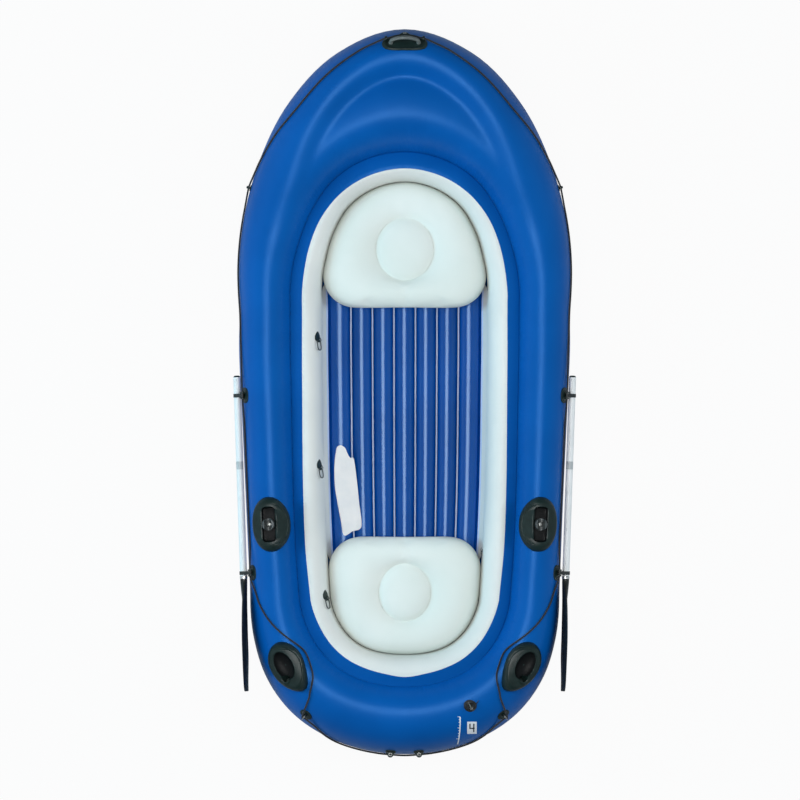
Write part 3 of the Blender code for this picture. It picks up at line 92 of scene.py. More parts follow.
# Distances from the hull's spine on rays 0 to 18, from the stem to the middle of the stern.
OUTER_SHARES = (
    1.632, 1.545, 1.384, 1.225, 1.108, 1.034, 1.000, 0.999, 0.986, 0.972,
    0.958, 0.945, 0.933, 0.940, 0.958, 0.963, 0.950, 0.936, 0.931,
)
CREASE_SHARES = (
    0.894, 0.881, 0.845, 0.783, 0.731, 0.704, 0.693, 0.691, 0.685, 0.679,
    0.671, 0.658, 0.636, 0.614, 0.594, 0.572, 0.547, 0.527, 0.520,
)
WALL_SHARES = (
    0.713, 0.698, 0.660, 0.598, 0.544, 0.514, 0.499, 0.497, 0.493, 0.489,
    0.481, 0.468, 0.448, 0.425, 0.405, 0.382, 0.356, 0.336, 0.328,
)
CREST_SHARES = (
    0.650, 0.640, 0.610, 0.575, 0.550, 0.538, 0.530, 0.528, 0.528, 0.530,
    0.535, 0.545, 0.560, 0.572, 0.580, 0.584, 0.586, 0.588, 0.588,
)
# Where the white wall panel is welded to the blue one.
PANEL_SHARES = (
    0.792, 0.780, 0.751, 0.708, 0.661, 0.629, 0.620, 0.620, 0.618, 0.616,
    0.611, 0.598, 0.568, 0.540, 0.519, 0.497, 0.473, 0.459, 0.462,
)
FORE_END = HULL_LENGTH / 2 - HALF_BEAM * OUTER_SHARES[0]
AFT_END = HALF_BEAM * OUTER_SHARES[-1] - HULL_LENGTH / 2
NOSE_RAYS = 4.6
STERN_RISE_RAYS = 4.0
NOSE_CREST_SHARE = 0.200
NOSE_INNER_SIZE = 0.118
BOW_LOBE_SIZE = 0.205

# Sizes of the fittings, as in the solids.
FLOOR_TUBES = 7
TUBE_PITCH = 0.0853
FLOOR_TOP = 0.075
FLOOR_SEAM = 0.040
FLANGE_WIDTH = 0.013
FLANGE_TOP = 0.012
FLOOR_END_ROOM = 0.014
FLOOR_WELD = 0.0056
# The height between the outermost tube and the skirt.
FLOOR_RIM = 0.050
# The skirt's points from its lower edge over its top to its hem. Where it lies flat they are measured from the
# outermost tube, and where it climbs, from the wall: how far beyond it, and how high.
SKIRT_FLAT = ((0.014, BASE), (0.014, 0.062), (0.011, 0.061), (0.009, 0.060))
SKIRT_CLIMBING = ((-0.010, BASE), (0.0006, 0.124), (-0.007, 0.098), (-0.0148, 0.077))
SKIRT_HEM = (0.0060, 0.058)
# It starts to climb this far under a seat, and takes this length for it.
SKIRT_UNDER_SEAT, SKIRT_RISE = 0.108, 0.045
SEAT_BOTTOM = FLOOR_TOP + GAP
SEAT_TOP = 0.236
SEAT_CORNER = 0.125
# Each seat's straight edge and the middle of its disc.
BOW_SEAT = (0.328964, 0.554964)
STERN_SEAT = (-0.563968, -0.778968)
# Half the size of each seat's disc, and how far air can move the skin.
BOW_DISC, STERN_DISC = (0.113, 0.122), (0.101, 0.113)
SEAT_SLACK = 0.008
# The folded sheet lies beside the left wall.
POUCH_OFF_WALL, POUCH_AHEAD = 0.0826, 0.201
CLOTH_OUTLINE = (
    (-0.0455, 0.0496), (-0.0439, 0.0917), (-0.0396, 0.1255), (-0.0346, 0.1481), (-0.0221, 0.1551), (-0.0050, 0.1466),
    (0.0051, 0.1240), (0.0160, 0.1068), (0.0304, 0.1018), (0.0413, 0.0282), (0.0514, -0.0687), (0.0600, -0.1610),
    (0.0261, -0.1800), (-0.0077, -0.1950), (-0.0202, -0.1361), (-0.0346, -0.0601), (-0.0431, -0.0052),
)
OAR_LENGTH = 1.228
OAR_RADIUS = 0.0136
OAR_JOINT = OAR_LENGTH * 0.285
BLADE_LENGTH = 0.448
OAR_HANGS = ((0.04287, 0.01452), (0.04157, 0.02270))
HEAD_AHEAD = 0.0785
ROPE_RADIUS = 0.0035
# How far the grab line lies off the skin: over the middle of the stern, and elsewhere.
ROPE_STAND_OFF = 0.0024
ROPE_LIFT = 0.0012
EYE_HEIGHT = 0.0085
PAD_HEIGHT = 0.005

# Where the fittings sit on the hull: a ray and a turn across the skin.
OARLOCK_SHARES = (10.4803, 0.6539)
ROD_SHARES = (14.0036, 0.5997)
REAR_KEEPER_SHARES = (11.4493, 0.2472)
FRONT_KEEPER_SHARES = (7.9076, 0.2545)
HANDLE_SHARES = (0.0, 0.2977)
QUARTER_SHARES = (15.2769, 0.3244)
VALVE_SHARES = (15.8754, 0.6739)
WALL_VALVE_RAY = 11.0503
GEAR_LOOP_RAYS = (6.7368, 9.2890, 11.8970)
GEAR_LOOP_TURN = 0.66
KEEPER_LINE = 0.012
CHEEK_GAP = 0.016
HANDLE_EYE = 0.060
LINE_EYE_ALONG = 0.070
HANDLE_OVER = 0.018
LINE_ON_PAD = ROPE_RADIUS + 5 * GAP
LOOP_WIDTH = 0.009
BOW_LOOP_RAY = 3.60
BOW_LOOP_TURN = 0.05
RING_RADIUS = 0.0120
LUG_SIZE = 0.011
LUG_WIDTH = 0.007
EYELET_RADIUS = 0.0072
# Moulded pads start this far under the skin.
SUNK = -0.001
STERN_TAB_X = 0.0557
STERN_TAB_TURN = 0.16

# The grab line's route on each side: rays and turns on the outer chamber.
NOSE_ROUTE = ((0.60, 0.270), (1.25, 0.318), (2.00, 0.330), (2.60, 0.240), (3.25, 0.110))
SHOULDER_ROUTE = ((4.00, 0.040), (5.20, 0.090), (7.00, 0.215))
SIDE_ROUTE = ((8.50, 0.228), (9.70, 0.221), (10.90, 0.232))
QUARTER_ROUTE = (
    (11.85, 0.340), (12.50, 0.540), (13.24, 0.758), (13.75, 0.850),
    (14.25, 0.826), (14.70, 0.745), (15.05, 0.545),
)
STERN_ROUTE = ((15.65, 0.235), (16.40, 0.040), (17.50, -0.030))
STERN_TURN = -0.030


# ---------------------------------------------------------------- the hull's lines

def mix(first, second, share):
    return first + (second - first) * share


def smooth_step(share):
    share = min(1.0, max(0.0, share))
    return share * share * (3 - 2 * share)


def between(p0, p1, p2, p3, t):
    """The value at a share t of the way from the second of four to the third, on a smooth curve through them."""
    square = (2 * p0 - 5 * p1 + 4 * p2 - p3) * t * t
    cube = (3 * p1 - p0 - 3 * p2 + p3) * t * t * t
    return (2 * p1 + (p2 - p0) * t + square + cube) / 2


def share_at(shares, ray):
    """The share on a ray between two whole ones, from a smooth curve that is level at both ends."""
    low = min(int(ray), LAST_RAY - 1)
    return between(*(shares[min(abs(i), 2 * LAST_RAY - abs(i))] for i in range(low - 1, low + 3)), ray - low)


def reach(shares, ray):
    return HALF_BEAM * share_at(shares, ray)


def plan_point(ray, distance):
    """The plan point at a distance along a ray on the right-hand side."""
    if ray <= FAN_RAYS:
        angle, start = (FAN_RAYS - ray) * FAN, FORE_END
    elif ray <= FAN_RAYS + SIDE_RAYS:
        angle, start = 0.0, mix(FORE_END, AFT_END, (ray - FAN_RAYS) / SIDE_RAYS)
    else:
        angle, start = -(ray - FAN_RAYS - SIDE_RAYS) * FAN, AFT_END
    return distance * math.cos(angle), start + distance * math.sin(angle)


def ray_of(x, y):
    """The ray through a plan point, and the point's distance along it."""
    if y > FORE_END:
        return (math.pi / 2 - math.atan2(y - FORE_END, x)) / FAN, math.hypot(x, y - FORE_END)
    if y < AFT_END:
        return FAN_RAYS + SIDE_RAYS + math.atan2(AFT_END - y, x) / FAN, math.hypot(x, y - AFT_END)
    return FAN_RAYS + SIDE_RAYS * (FORE_END - y) / (FORE_END - AFT_END), x


def half_width_at(shares, y, room):
    """Half the width, at y, of the outline a little inside the given one."""
    low, high = 0.0, float(LAST_RAY)
    for _ in range(30):
        middle = (low + high) / 2
        if plan_point(middle, reach(shares, middle) - room)[1] > y:
            low = middle
        else:
            high = middle
    return max(0.0, plan_point(low, reach(shares, low) - room)[0])


def soft_max(a, b, radius):
    """The larger of two heights, with the valley between them filled a little, as a real skin is."""
    blend = max(radius - abs(a - b), 0.0) / radius
    return max(a, b) + blend * blend * radius / 4


class Band:
    """The outer chamber's cross-section on one ray, measured inwards from its outer edge."""

    def __init__(self, ray):
        self.edge = reach(OUTER_SHARES, ray)
        self.width = self.edge - reach(CREASE_SHARES, ray) - GAP / 2
        self.bow = smooth_step(1 - ray / NOSE_RAYS)
        stern = smooth_step((ray - FAN_RAYS - SIDE_RAYS) / STERN_RISE_RAYS)
        self.crest = self.width * share_at(CREST_SHARES, ray)
        self.top = mix(mix(SIDE_TOP, STERN_TOP, stern), BOW_TOP, self.bow)
        self.equator = mix(SIDE_EQUATOR, BOW_EQUATOR, self.bow)
        self.lobe = min(self.crest, mix(self.crest, BOW_LOBE_SIZE, self.bow))
        self.crease = mix(mix(SIDE_CREASE, STERN_CREASE, stern), BOW_CREASE, self.bow)
        share = (self.crease - SIDE_EQUATOR) / (self.top - SIDE_EQUATOR)
        self.inner_turn = math.sqrt(1 - share * share)

    def top_at(self, depth):
        if depth >= self.crest:
            turn = (depth - self.crest) / (self.width - self.crest) * self.inner_turn
            main = mix(SIDE_EQUATOR, self.top, math.sqrt(max(0.0, 1 - turn * turn)))
            main = soft_max(main, self.crease + VALLEY_FILL, 0.030)
        else:
            turn = (self.crest - depth) / self.lobe
            main = mix(self.equator, self.top, math.sqrt(max(0.0, 1 - turn * turn)))
        # Towards the stem a second crest rises near the edge.
        nose_crest = mix(self.crest, self.width * NOSE_CREST_SHARE, self.bow)
        inner = mix(self.width - self.crest, NOSE_INNER_SIZE, self.bow)
        turn = (nose_crest - depth) / (nose_crest if depth < nose_crest else inner)
        nose_top = mix(self.top, NOSE_TOP, self.bow ** 1.6)
        nose = mix(self.equator, nose_top, math.sqrt(max(0.0, 1 - turn * turn)))
        if self.bow <= 0.0:
            return main
        return mix(max(main, nose), soft_max(main, nose, 0.034), min(1.0, 4 * self.bow) * smooth_step(depth / 0.02))

    def bottom_at(self, depth):
        if depth >= self.crest:
            turn = (depth - self.crest) / (self.width - self.crest) * self.inner_turn
            return mix(SIDE_EQUATOR, BASE, math.sqrt(max(0.0, 1 - turn * turn)))
        turn = (self.crest - depth) / self.crest
        return mix(self.equator, BASE, math.sqrt(max(0.0, 1 - turn * turn)))

    def at(self, turn):
        """Distance from the spine and height, at turn 0 on the edge, 1 and -1 on the crease."""
        depth = self.width * (1 - math.cos(abs(turn) * math.pi / 2))
        return self.edge - depth, self.top_at(depth) if turn >= 0 else self.bottom_at(depth)


def outer_skin(ray, turn, side):
    """A point of the outer chamber's skin. A ray below zero lies on the other side of the stem."""
    if ray < 0:
        ray, side = -ray, -side
    if ray > LAST_RAY:
        ray, side = 2 * LAST_RAY - ray, -side
    distance, height = Band(ray).at(turn)
    x, y = plan_point(ray, distance)
    return Vector((side * x, y, height))


def inner_angles(ray):
    """Start, half width, top, crease angle and outboard half width of the inner chamber on a ray."""
    start = reach(CREASE_SHARES, ray) - GAP / 2
    half = (start - reach(WALL_SHARES, ray)) / 2
    top = mix(INNER_TOP, INNER_BOW_TOP, smooth_step(1 - ray / NOSE_RAYS))
    share = (Band(ray).crease - INNER_EQUATOR) / (top - INNER_EQUATOR)
    turn = math.asin(math.sqrt(1 - share * share))
    return start, half, top, turn, half / math.sin(turn)


def inner_point(ray, angle, side, low=False):
    """A point of the inner chamber, at an angle from its top, or if low from its bottom. Outboard is positive."""
    start, half, top, _turn, half_out = inner_angles(ray)
    size = half_out if angle > 0 else half
    height = mix(INNER_EQUATOR, BASE if low else top, math.cos(angle))
    if angle > 0 and not low:
        height = soft_max(height, Band(ray).crease + VALLEY_FILL, 0.030)
    x, y = plan_point(ray, start - half + size * math.sin(angle))
    return Vector((side * x, y, height))


def inner_skin(ray, turn, side):
    """A point of the inner chamber's skin, at turn 0 on the crease and 1 at the wall's widest height."""
    return inner_point(ray, mix(inner_angles(ray)[3], -math.pi / 2, turn), side)


class Patch:
    """A place on a skin. It turns local sizes (outboard, forward, up from the skin) into points."""

    STEP = 0.01

    def __init__(self, skin, ray, turn, side):
        self.skin, self.ray, self.turn, self.side = skin, ray, turn, side
        self.centre = skin(ray, turn, side)
        self.forward_rate = self.rate(1, 0).length
        self.outward_rate = self.rate(0, 1).length
        self.normal = self.normal_at(ray, turn)
        forward = -self.rate(1, 0).normalized()
        self.forward = (forward - self.normal * forward.dot(self.normal)).normalized()
        self.outward = self.forward.cross(self.normal) * side

    def rate(self, along, across, ray=None, turn=None):
        """How a point of the skin moves as the ray (along) or the turn (across) grows."""
        ray = self.ray if ray is None else ray
        turn = self.turn if turn is None else turn
        after = self.skin(ray + along * self.STEP, turn + across * self.STEP, self.side)
        before = self.skin(ray - along * self.STEP, turn - across * self.STEP, self.side)
        return (after - before) / (2 * self.STEP)

    def normal_at(self, ray, turn):
        return (self.rate(0, 1, ray, turn).cross(self.rate(1, 0, ray, turn)) * self.side).normalized()

    def wrap(self, out, forward, height):
        """A point that follows the skin's curve."""
        ray = self.ray - forward / self.forward_rate
        turn = self.turn - out / self.outward_rate
        return self.skin(ray, turn, self.side) + self.normal_at(ray, turn) * height

    def rigid(self, out, forward, height):
        """A point in the flat frame that touches the skin at the centre."""
        return self.centre + self.outward * out + self.forward * forward + self.normal * height

    def above(self, out, forward, height):
        """The point at a flat place that lies at a height over the skin."""
        u, v = out, forward
        for _ in range(5):
            found = self.wrap(u, v, height) - self.centre
            u += out - found.dot(self.outward)
            v += forward - found.dot(self.forward)
        return self.wrap(u, v, height)

    def matrix(self, forward=0.0, height=0.0):
        """A right-handed frame: Z up from the skin and Y forward."""
        return axes_matrix(self.rigid(0, forward, height), self.forward.cross(self.normal), self.forward, self.normal)


def axes_matrix(origin, x_axis, y_axis, z_axis):
    columns = (x_axis, y_axis, z_axis, origin)
    return Matrix([[column[row] for column in columns] for row in range(3)] + [[0.0, 0.0, 0.0, 1.0]])


# ---------------------------------------------------------------- materials

def linear(hex_colour):
    """An sRGB hex colour as linear values with alpha."""
    channels = [int(hex_colour[i : i + 2], 16) / 255 for i in (0, 2, 4)]
    return (*[c / 12.92 if c <= 0.04045 else ((c + 0.055) / 1.055) ** 2.4 for c in channels], 1.0)


def add(tree, kind, inputs=None, **settings):
    """Adds a node with its settings. Inputs are values, or other nodes' outputs to link."""
    node = tree.nodes.new(kind)
    for name, value in settings.items():
        setattr(node, name, value)
    for socket, value in (inputs or {}).items():
        if isinstance(value, bpy.types.NodeSocket):
            tree.links.new(value, node.inputs[socket])
        else:
            node.inputs[socket].default_value = value
    return node


def start_material(name, **values):
    """A new material, its node tree and its shader with plain values set on its sockets."""
    made = bpy.data.materials.new(name)
    made.use_nodes = True
    shader = made.node_tree.nodes["Principled BSDF"]
    for socket, value in values.items():
        shader.inputs[socket.replace("_", " ")].default_value = value
    return made, made.node_tree, shader


def blend_colours(tree, shader, share, first, second):
    """The shader's colour goes from the first to the second with a share that another node gives."""
    blend = add(tree, "ShaderNodeMix", {"Factor": share, 6: linear(first), 7: linear(second)}, data_type="RGBA")
    tree.links.new(blend.outputs[2], shader.inputs["Base Color"])


def two_tone(tree, shader, place, first, second, per_metre, detail):
    """Soft clouds of two near colours."""
    cloud = add(tree, "ShaderNodeTexNoise", {"Vector": place, "Scale": per_metre, "Detail": detail})
    ramp = add(tree, "ShaderNodeMapRange", {"Value": cloud.outputs["Fac"], "From Min": 0.35, "From Max": 0.65})
    blend_colours(tree, shader, ramp.outputs["Result"], first, second)


def uneven_gloss(tree, shader, place, per_metre, low, high):
    """Roughness that wanders between two values."""
    cloud = add(tree, "ShaderNodeTexNoise", {"Vector": place, "Scale": per_metre, "Detail": 4.0})
    ramp = add(tree, "ShaderNodeMapRange", {"Value": cloud.outputs["Fac"], "To Min": low, "To Max": high})
    tree.links.new(ramp.outputs["Result"], shader.inputs["Roughness"])


def start_clouded(name, colours, cloud_size, gloss_size, roughness, detail=3.0, **values):
    """A new material with clouds of two colours and a gloss that wanders, both sized in millimetres.

    Gives the material, its node tree and shader, and the place in the object's own frame.
    """
    made, tree, shader = start_material(name, **values)
    place = add(tree, "ShaderNodeTexCoord").outputs["Object"]
    two_tone(tree, shader, place, *colours, 1000 / cloud_size, detail)
    uneven_gloss(tree, shader, place, 1000 / gloss_size, *roughness)
    return made, tree, shader, place


def relief(tree, shader, height, depth, below=None):
    """Bumps of a real depth in metres, over those already there."""
    inputs = {"Height": height, "Distance": depth}
    if below:
        inputs["Normal"] = below.outputs["Normal"]
    bump = add(tree, "ShaderNodeBump", inputs)
    tree.links.new(bump.outputs["Normal"], shader.inputs["Normal"])
    return bump


def vinyl(name, colours, roughness, shine, tint="FFFFFF"):
    """Plasticised PVC sheet, calendered and welded: one even, slightly clouded colour with a soft satin light
    on it, and small puckers that run away from each weld."""
    # Clouds of about 300 mm, as the sheet's thickness wanders.
    made, tree, shader, place = start_clouded(name, colours, 300, 60, roughness, IOR=1.53, Specular_IOR_Level=shine,
                                              Specular_Tint=linear(tint))
    # Puckers 14 mm apart along a weld and about 70 mm long across it.
    flat = add(tree, "ShaderNodeUVMap").outputs["UV"]
    drawn = add(tree, "ShaderNodeMapping", {"Vector": flat, "Scale": (1000 / 14, 1000 / 70, 1.0)})
    puckers = add(tree, "ShaderNodeTexNoise", {"Vector": drawn.outputs["Vector"], "Scale": 1.0, "Detail": 2.0})
    near = add(tree, "ShaderNodeAttribute", attribute_name="weld")
    masked = add(tree, "ShaderNodeMath", {0: puckers.outputs["Fac"], 1: near.outputs["Fac"]}, operation="MULTIPLY")
    first_bump = relief(tree, shader, masked.outputs["Value"], 0.0045)
    # The sheet's pressed grain is 0.4 mm; it is drawn 3 mm coarse, so that it shows at all.
    grain = add(tree, "ShaderNodeTexNoise", {"Vector": place, "Scale": 1000 / 3, "Detail": 2.0})
    relief(tree, shader, grain.outputs["Fac"], 0.00012, first_bump)
    return made


def moulded(name, colours, roughness, shine=0.5):
    """Injection-moulded rubber or plastic: two near tones of one colour, finely pitted from the mould."""
    made, tree, shader, place = start_clouded(name, colours, 22, 12, roughness, 5.0, IOR=1.52,
                                              Specular_IOR_Level=shine)
    # Spark-eroded mould grain of 0.6 mm, drawn 1.2 mm coarse.
    grain = add(tree, "ShaderNodeTexVoronoi", {"Vector": place, "Scale": 1000 / 1.2})
    relief(tree, shader, grain.outputs["Distance"], 0.00010)
    return made


def metal(name, colours, roughness, line_scale):
    """Bare or anodised metal with faint lines from drawing or polishing."""
    made, tree, shader = start_material(name, Metallic=1.0)
    place = add(tree, "ShaderNodeTexCoord").outputs["Object"]
    drawn = add(tree, "ShaderNodeMapping", {"Vector": place, "Scale": line_scale})
    two_tone(tree, shader, drawn.outputs["Vector"], *colours, 1.0, 6.0)
    uneven_gloss(tree, shader, drawn.outputs["Vector"], 1.0, *roughness)
    lines = add(tree, "ShaderNodeTexNoise", {"Vector": drawn.outputs["Vector"], "Scale": 2.0, "Detail": 6.0})
    relief(tree, shader, lines.outputs["Fac"], 0.00003)
    return made


def ridges(tree, place, size, **settings):
    """Even ridges, a size in millimetres apart."""
    # At scale 1 a wave texture has about 3.1 ridges to the unit.
    return add(tree, "ShaderNodeTexWave", {"Vector": place, "Scale": 1000 / size / 3.1}, **settings).outputs["Fac"]


def braided_line():
    """Polyester cord, braided: dark strands that cross at 45 degrees, each 1.8 mm wide, with a dry sheen."""
    made, tree, shader = start_material("braided_polyester", Roughness=0.72, IOR=1.5, Sheen_Weight=0.25)
    flat = add(tree, "ShaderNodeUVMap").outputs["UV"]
    crossings = []
    for turn in (1, -1):
        leaned = add(tree, "ShaderNodeMapping", {"Vector": flat, "Rotation": (0, 0, turn * math.pi / 4)})
        crossings.append(ridges(tree, leaned.outputs["Vector"], 1.8))
    strands = add(tree, "ShaderNodeMath", {0: crossings[0], 1: crossings[1]}, operation="MAXIMUM")
    blend_colours(tree, shader, strands.outputs["Value"], "0A0C10", "22262C")
    relief(tree, shader, strands.outputs["Value"], 0.0004)
    return made


def powder_coat():
    """A baked polyester powder coat on aluminium tube: an even bright white with an orange-peel ripple."""
    made, tree, shader, place = start_clouded("powder_coated_aluminium", ("F3F4F3", "EBEDEC"), 80, 25, (0.34, 0.46),
                                              IOR=1.5, Specular_IOR_Level=0.4)
    # Orange peel of 1 mm, drawn 2.5 mm coarse.
    peel = add(tree, "ShaderNodeTexNoise", {"Vector": place, "Scale": 1000 / 2.5, "Detail": 1.0})
    relief(tree, shader, peel.outputs["Fac"], 0.00008)
    return made


def printed_ink(name, *colours):
    """Screen-printed ink: flat and slightly chalky, with clouds at the edge of seeing."""
    return start_clouded(name, colours, 4, 8, (0.42, 0.55), IOR=1.45)[0]


def coated_cloth():
    """Polyester cloth with a white coating, woven 0.5 mm and drawn 1.6 mm coarse: flat white, faintly ribbed."""
    made, tree, shader, place = start_clouded("coated_cloth", ("F6F6F5", "EEF0F1"), 60, 30, (0.50, 0.68), IOR=1.5,
                                              Specular_IOR_Level=0.3, Sheen_Weight=0.15)
    threads = [ridges(tree, place, 1.6, bands_direction=axis) for axis in ("X", "Y")]
    weave = add(tree, "ShaderNodeMath", {0: threads[0], 1: threads[1]}, operation="MAXIMUM")
    relief(tree, shader, weave.outputs["Value"], 0.00012)
    return made


BLUE_VINYL = vinyl("blue_pvc_sheet", ("0359A9", "0253A0"), (0.32, 0.40), 0.40, "7CBEFF")
FLOOR_VINYL = vinyl("blue_pvc_floor", ("034A9C", "024492"), (0.17, 0.23), 0.60, "C4E4FF")
WHITE_VINYL = vinyl("white_pvc_sheet", ("E8E9E4", "DFE1DD"), (0.44, 0.54), 0.25)
SEAT_VINYL = vinyl("white_pvc_seat", ("EAEEE8", "E2E8E1"), (0.50, 0.58), 0.20)
SEAM_VINYL = vinyl("white_pvc_weld", ("CFDFFC", "C2D4F6"), (0.44, 0.54), 0.25)
# Soft PVC rubber: black, with a green-grey tint in its colour that is painted reflection of the blue hull. A
# near-black copy of it is painted shade for hollows where no light falls. Grey rubber for the straps.
RUBBER = moulded("black_pvc_rubber", ("10211F", "182A28"), (0.32, 0.42), 0.35)
SHADE_PAINTED_RUBBER = moulded("painted_shade_rubber", ("06090B", "0A0E10"), (0.45, 0.55), 0.2)
STRAP_RUBBER = moulded("strap_rubber", ("26292A", "343838"), (0.45, 0.60))
PLASTIC = moulded("black_polypropylene", ("191D1E", "232829"), (0.30, 0.42), 0.4)
# Dark grey nylon: the gear rings' own colour, and on the oarlock fork, whose plastic is black, a lighter grey that is
# painted highlight on its cheeks' tops.
GREY_NYLON_AND_FORK_HIGHLIGHT = moulded("dark_grey_nylon_and_painted_fork_highlight", ("3A4041", "454B4C"), (0.32, 0.44), 0.45)
PALE_PLASTIC = moulded("pale_grey_polypropylene", ("C3C8C8", "B7BDBD"), (0.36, 0.48))
GLOSS_PLASTIC = moulded("polished_black_polypropylene", ("14181A", "1B2022"), (0.10, 0.18), 0.55)
# Grey plastic for the valves' plugs, cross bar and stopper; on the handle's grip, which is black rubber, the grey is
# painted highlight.
GREY_PLASTIC_AND_GRIP_HIGHLIGHT = moulded("grey_polypropylene", ("565C5B", "666C6A"), (0.34, 0.46))
TUBE_COAT = powder_coat()
# Bare aluminium of the ferrules: pale and satin, with drawing lines along it.
TUBE_METAL = metal("anodised_aluminium", ("F1F3F3", "E4E8E9"), (0.30, 0.42), (900.0, 12.0, 900.0))
# Stainless steel of pins, eyelets and rings, tumbled, which has lost its polish.
SATIN_STEEL = metal("satin_steel", ("B4B7B4", "9DA09E"), (0.36, 0.50), (300.0, 300.0, 300.0))
CORD = braided_line()
INK = printed_ink("white_ink", "F2F4F6", "E6EAF0")
DARK_INK = printed_ink("dark_ink", "20242C", "2A2F38")
CLOTH = coated_cloth()


# ---------------------------------------------------------------- making meshes

def finish_mesh(name, bm, looks, sharp=40.0):
    """An object from a bmesh, smooth but for edges that bend more than sharp, in degrees."""
    bmesh.ops.recalc_face_normals(bm, faces=bm.faces)
    mesh = bpy.data.meshes.new(name)
    bm.to_mesh(mesh)
    bm.free()
    mesh.shade_smooth()
    mesh.set_sharp_from_angle(angle=math.radians(sharp))
    for look in looks:
        mesh.materials.append(look)
    made = bpy.data.objects.new(name, mesh)
    bpy.context.scene.collection.objects.link(made)
    return made


def sheeted(name, rows, looks, ring=False, look_of=None, weld_of=None, sharp=40.0):
    """A mesh through closed rows of points, with UVs in metres: U from row to row, V round each row.

    ring joins the last row to the first. Without it both end rows are filled.
    """
    bm = bmesh.new()
    flat = bm.loops.layers.uv.new("UVMap")
    weld = bm.verts.layers.float.new("weld")
    grid = [[bm.verts.new(point) for point in row] for row in rows]
    along = [0.0]
    count, width = len(rows), len(rows[0])
    for i in range(count):
        this, after = rows[i], rows[(i + 1) % count]
        along.append(along[-1] + sum((Vector(a) - Vector(b)).length for a, b in zip(this, after)) / width)
    across = []
    for row in rows:
        line = [0.0]
        for j in range(width):
            line.append(line[-1] + (Vector(row[j]) - Vector(row[(j + 1) % width])).length)
        across.append(line)
    for i in range(count if ring else count - 1):
        for j in range(width):
            n, m = (i + 1) % count, (j + 1) % width
            face = bm.faces.new((grid[i][j], grid[i][m], grid[n][m], grid[n][j]))
            spots = ((along[i], across[i][j]), (along[i], across[i][j + 1]),
                     (along[i + 1], across[n][j + 1]), (along[i + 1], across[n][j]))
            for loop, spot in zip(face.loops, spots):
                loop[flat].uv = spot
            if look_of:
                face.material_index = look_of(i, j)
    if not ring:
        for row in (grid[0], grid[-1]):
            cap = bm.faces.new(row)
            for loop in cap.loops:
                loop[flat].uv = (loop.vert.co.x, loop.vert.co.y)
    if weld_of:
        for i, row in enumerate(grid):
            for j, vert in enumerate(row):
                vert[weld] = weld_of(i, j)
    return finish_mesh(name, bm, looks, sharp)


def angles_round(count, shift=0.0):
    """Angles at even steps round a full turn."""
    return [2 * math.pi * (step + shift) / count for step in range(count)]


def push(thing, amount_at):
    """Moves each corner along its normal by an amount that depends on its index."""
    mesh = thing.data
    normals = [vert.normal.copy() for vert in mesh.vertices]
    for vert, normal in zip(mesh.vertices, normals):
        vert.co += normal * amount_at(vert.index)
    mesh.update()


def turned(name, profile, matrix, looks, sides, ring=False, sharp=30.0, wave=None, look_of=None):
    """A solid of revolution about local Z, from radii and heights. wave changes the radius round the turn."""
    rows = []
    for radius, height in profile:
        row = []
        for angle in angles_round(sides):
            size = radius + (wave(angle, radius, height) if wave else 0.0)
            row.append(matrix @ Vector((size * math.cos(angle), size * math.sin(angle), height)))
        rows.append(row)
    return sheeted(name, rows, looks, ring=ring, look_of=look_of, sharp=sharp)


def rounded_profile(points, radius):
    """A profile of radii and heights with its inner corners cut round."""
    made = [points[0]]
    for before, corner, after in zip(points, points[1:], points[2:]):
        here = Vector(corner)
        back, ahead = Vector(before) - here, Vector(after) - here
        size = min(radius, back.length * 0.45, ahead.length * 0.45)
        a, b = here + back.normalized() * size, here + ahead.normalized() * size
        for step in range(4):
            t = step / 3
            made.append(tuple(a * (1 - t) ** 2 + here * 2 * t * (1 - t) + b * t * t))
    made.append(points[-1])
    return made


def tube(name, points, radius, looks, closed=False, sides=16, up=None):
    """A round tube along points. Its frame turns as little as it can."""
    points = [Vector(point) for point in points]
    count = len(points)
    ways = []
    for i in range(count):
        before = points[i - 1] if closed or i else points[0]
        after = points[(i + 1) % count] if closed or i < count - 1 else points[-1]
        ways.append((after - before).normalized())
    across = (up or Vector((0, 0, 1))).cross(ways[0])
    if across.length < 1e-3:
        across = Vector((1, 0, 0)).cross(ways[0])
    across.normalize()
    frames = []
    for way in ways:
        across = (across - way * across.dot(way)).normalized()
        frames.append((across.copy(), way.cross(across)))
    # A closed tube's frames are each turned a little more, so that the last meets the first.
    twist = 0.0
    if closed:
        first = frames[0][0]
        last = (frames[-1][0] - ways[0] * frames[-1][0].dot(ways[0])).normalized()
        twist = math.atan2(first.cross(last).dot(ways[0]), first.dot(last))
    rows = []
    for i, (point, (a, b)) in enumerate(zip(points, frames)):
        size = radius[i] if isinstance(radius, (list, tuple)) else radius
        row = []
        for turn in angles_round(sides):
            angle = turn - twist * i / count
            row.append(point + a * math.cos(angle) * size + b * math.sin(angle) * size)
        rows.append(row)
    return sheeted(name, rows, looks, ring=closed)


def curve_through(points, steps, closed=False):
    """Points of a smooth curve through the given ones. Two numbers make a point too, with a zero behind them."""
    points = [Vector(point).to_3d() for point in points]
    count = len(points)
    made = []
    for i in range(count if closed else count - 1):
        four = [points[(i + k) % count if closed else min(max(i + k, 0), count - 1)] for k in (-1, 0, 1, 2)]
        made += [between(*four, step / steps) for step in range(steps)]
    if not closed:
        made.append(points[-1])
    return made


def oval(half, sides, power=2.0):
    """A rounded outline of the given half sizes. A higher power has squarer corners."""
    points = []
    for angle in angles_round(sides, 0.5):
        c, s = math.cos(angle), math.sin(angle)
        x = half[0] * math.copysign(abs(c) ** (2 / power), c)
        points.append((x, half[1] * math.copysign(abs(s) ** (2 / power), s)))
    return points


def grown(outline, by):
    """The outline moved out from its middle by a distance."""
    made = []
    for x, y in outline:
        size = math.hypot(x, y) or 1.0
        made.append((x + by * x / size, y + by * y / size))
    return made


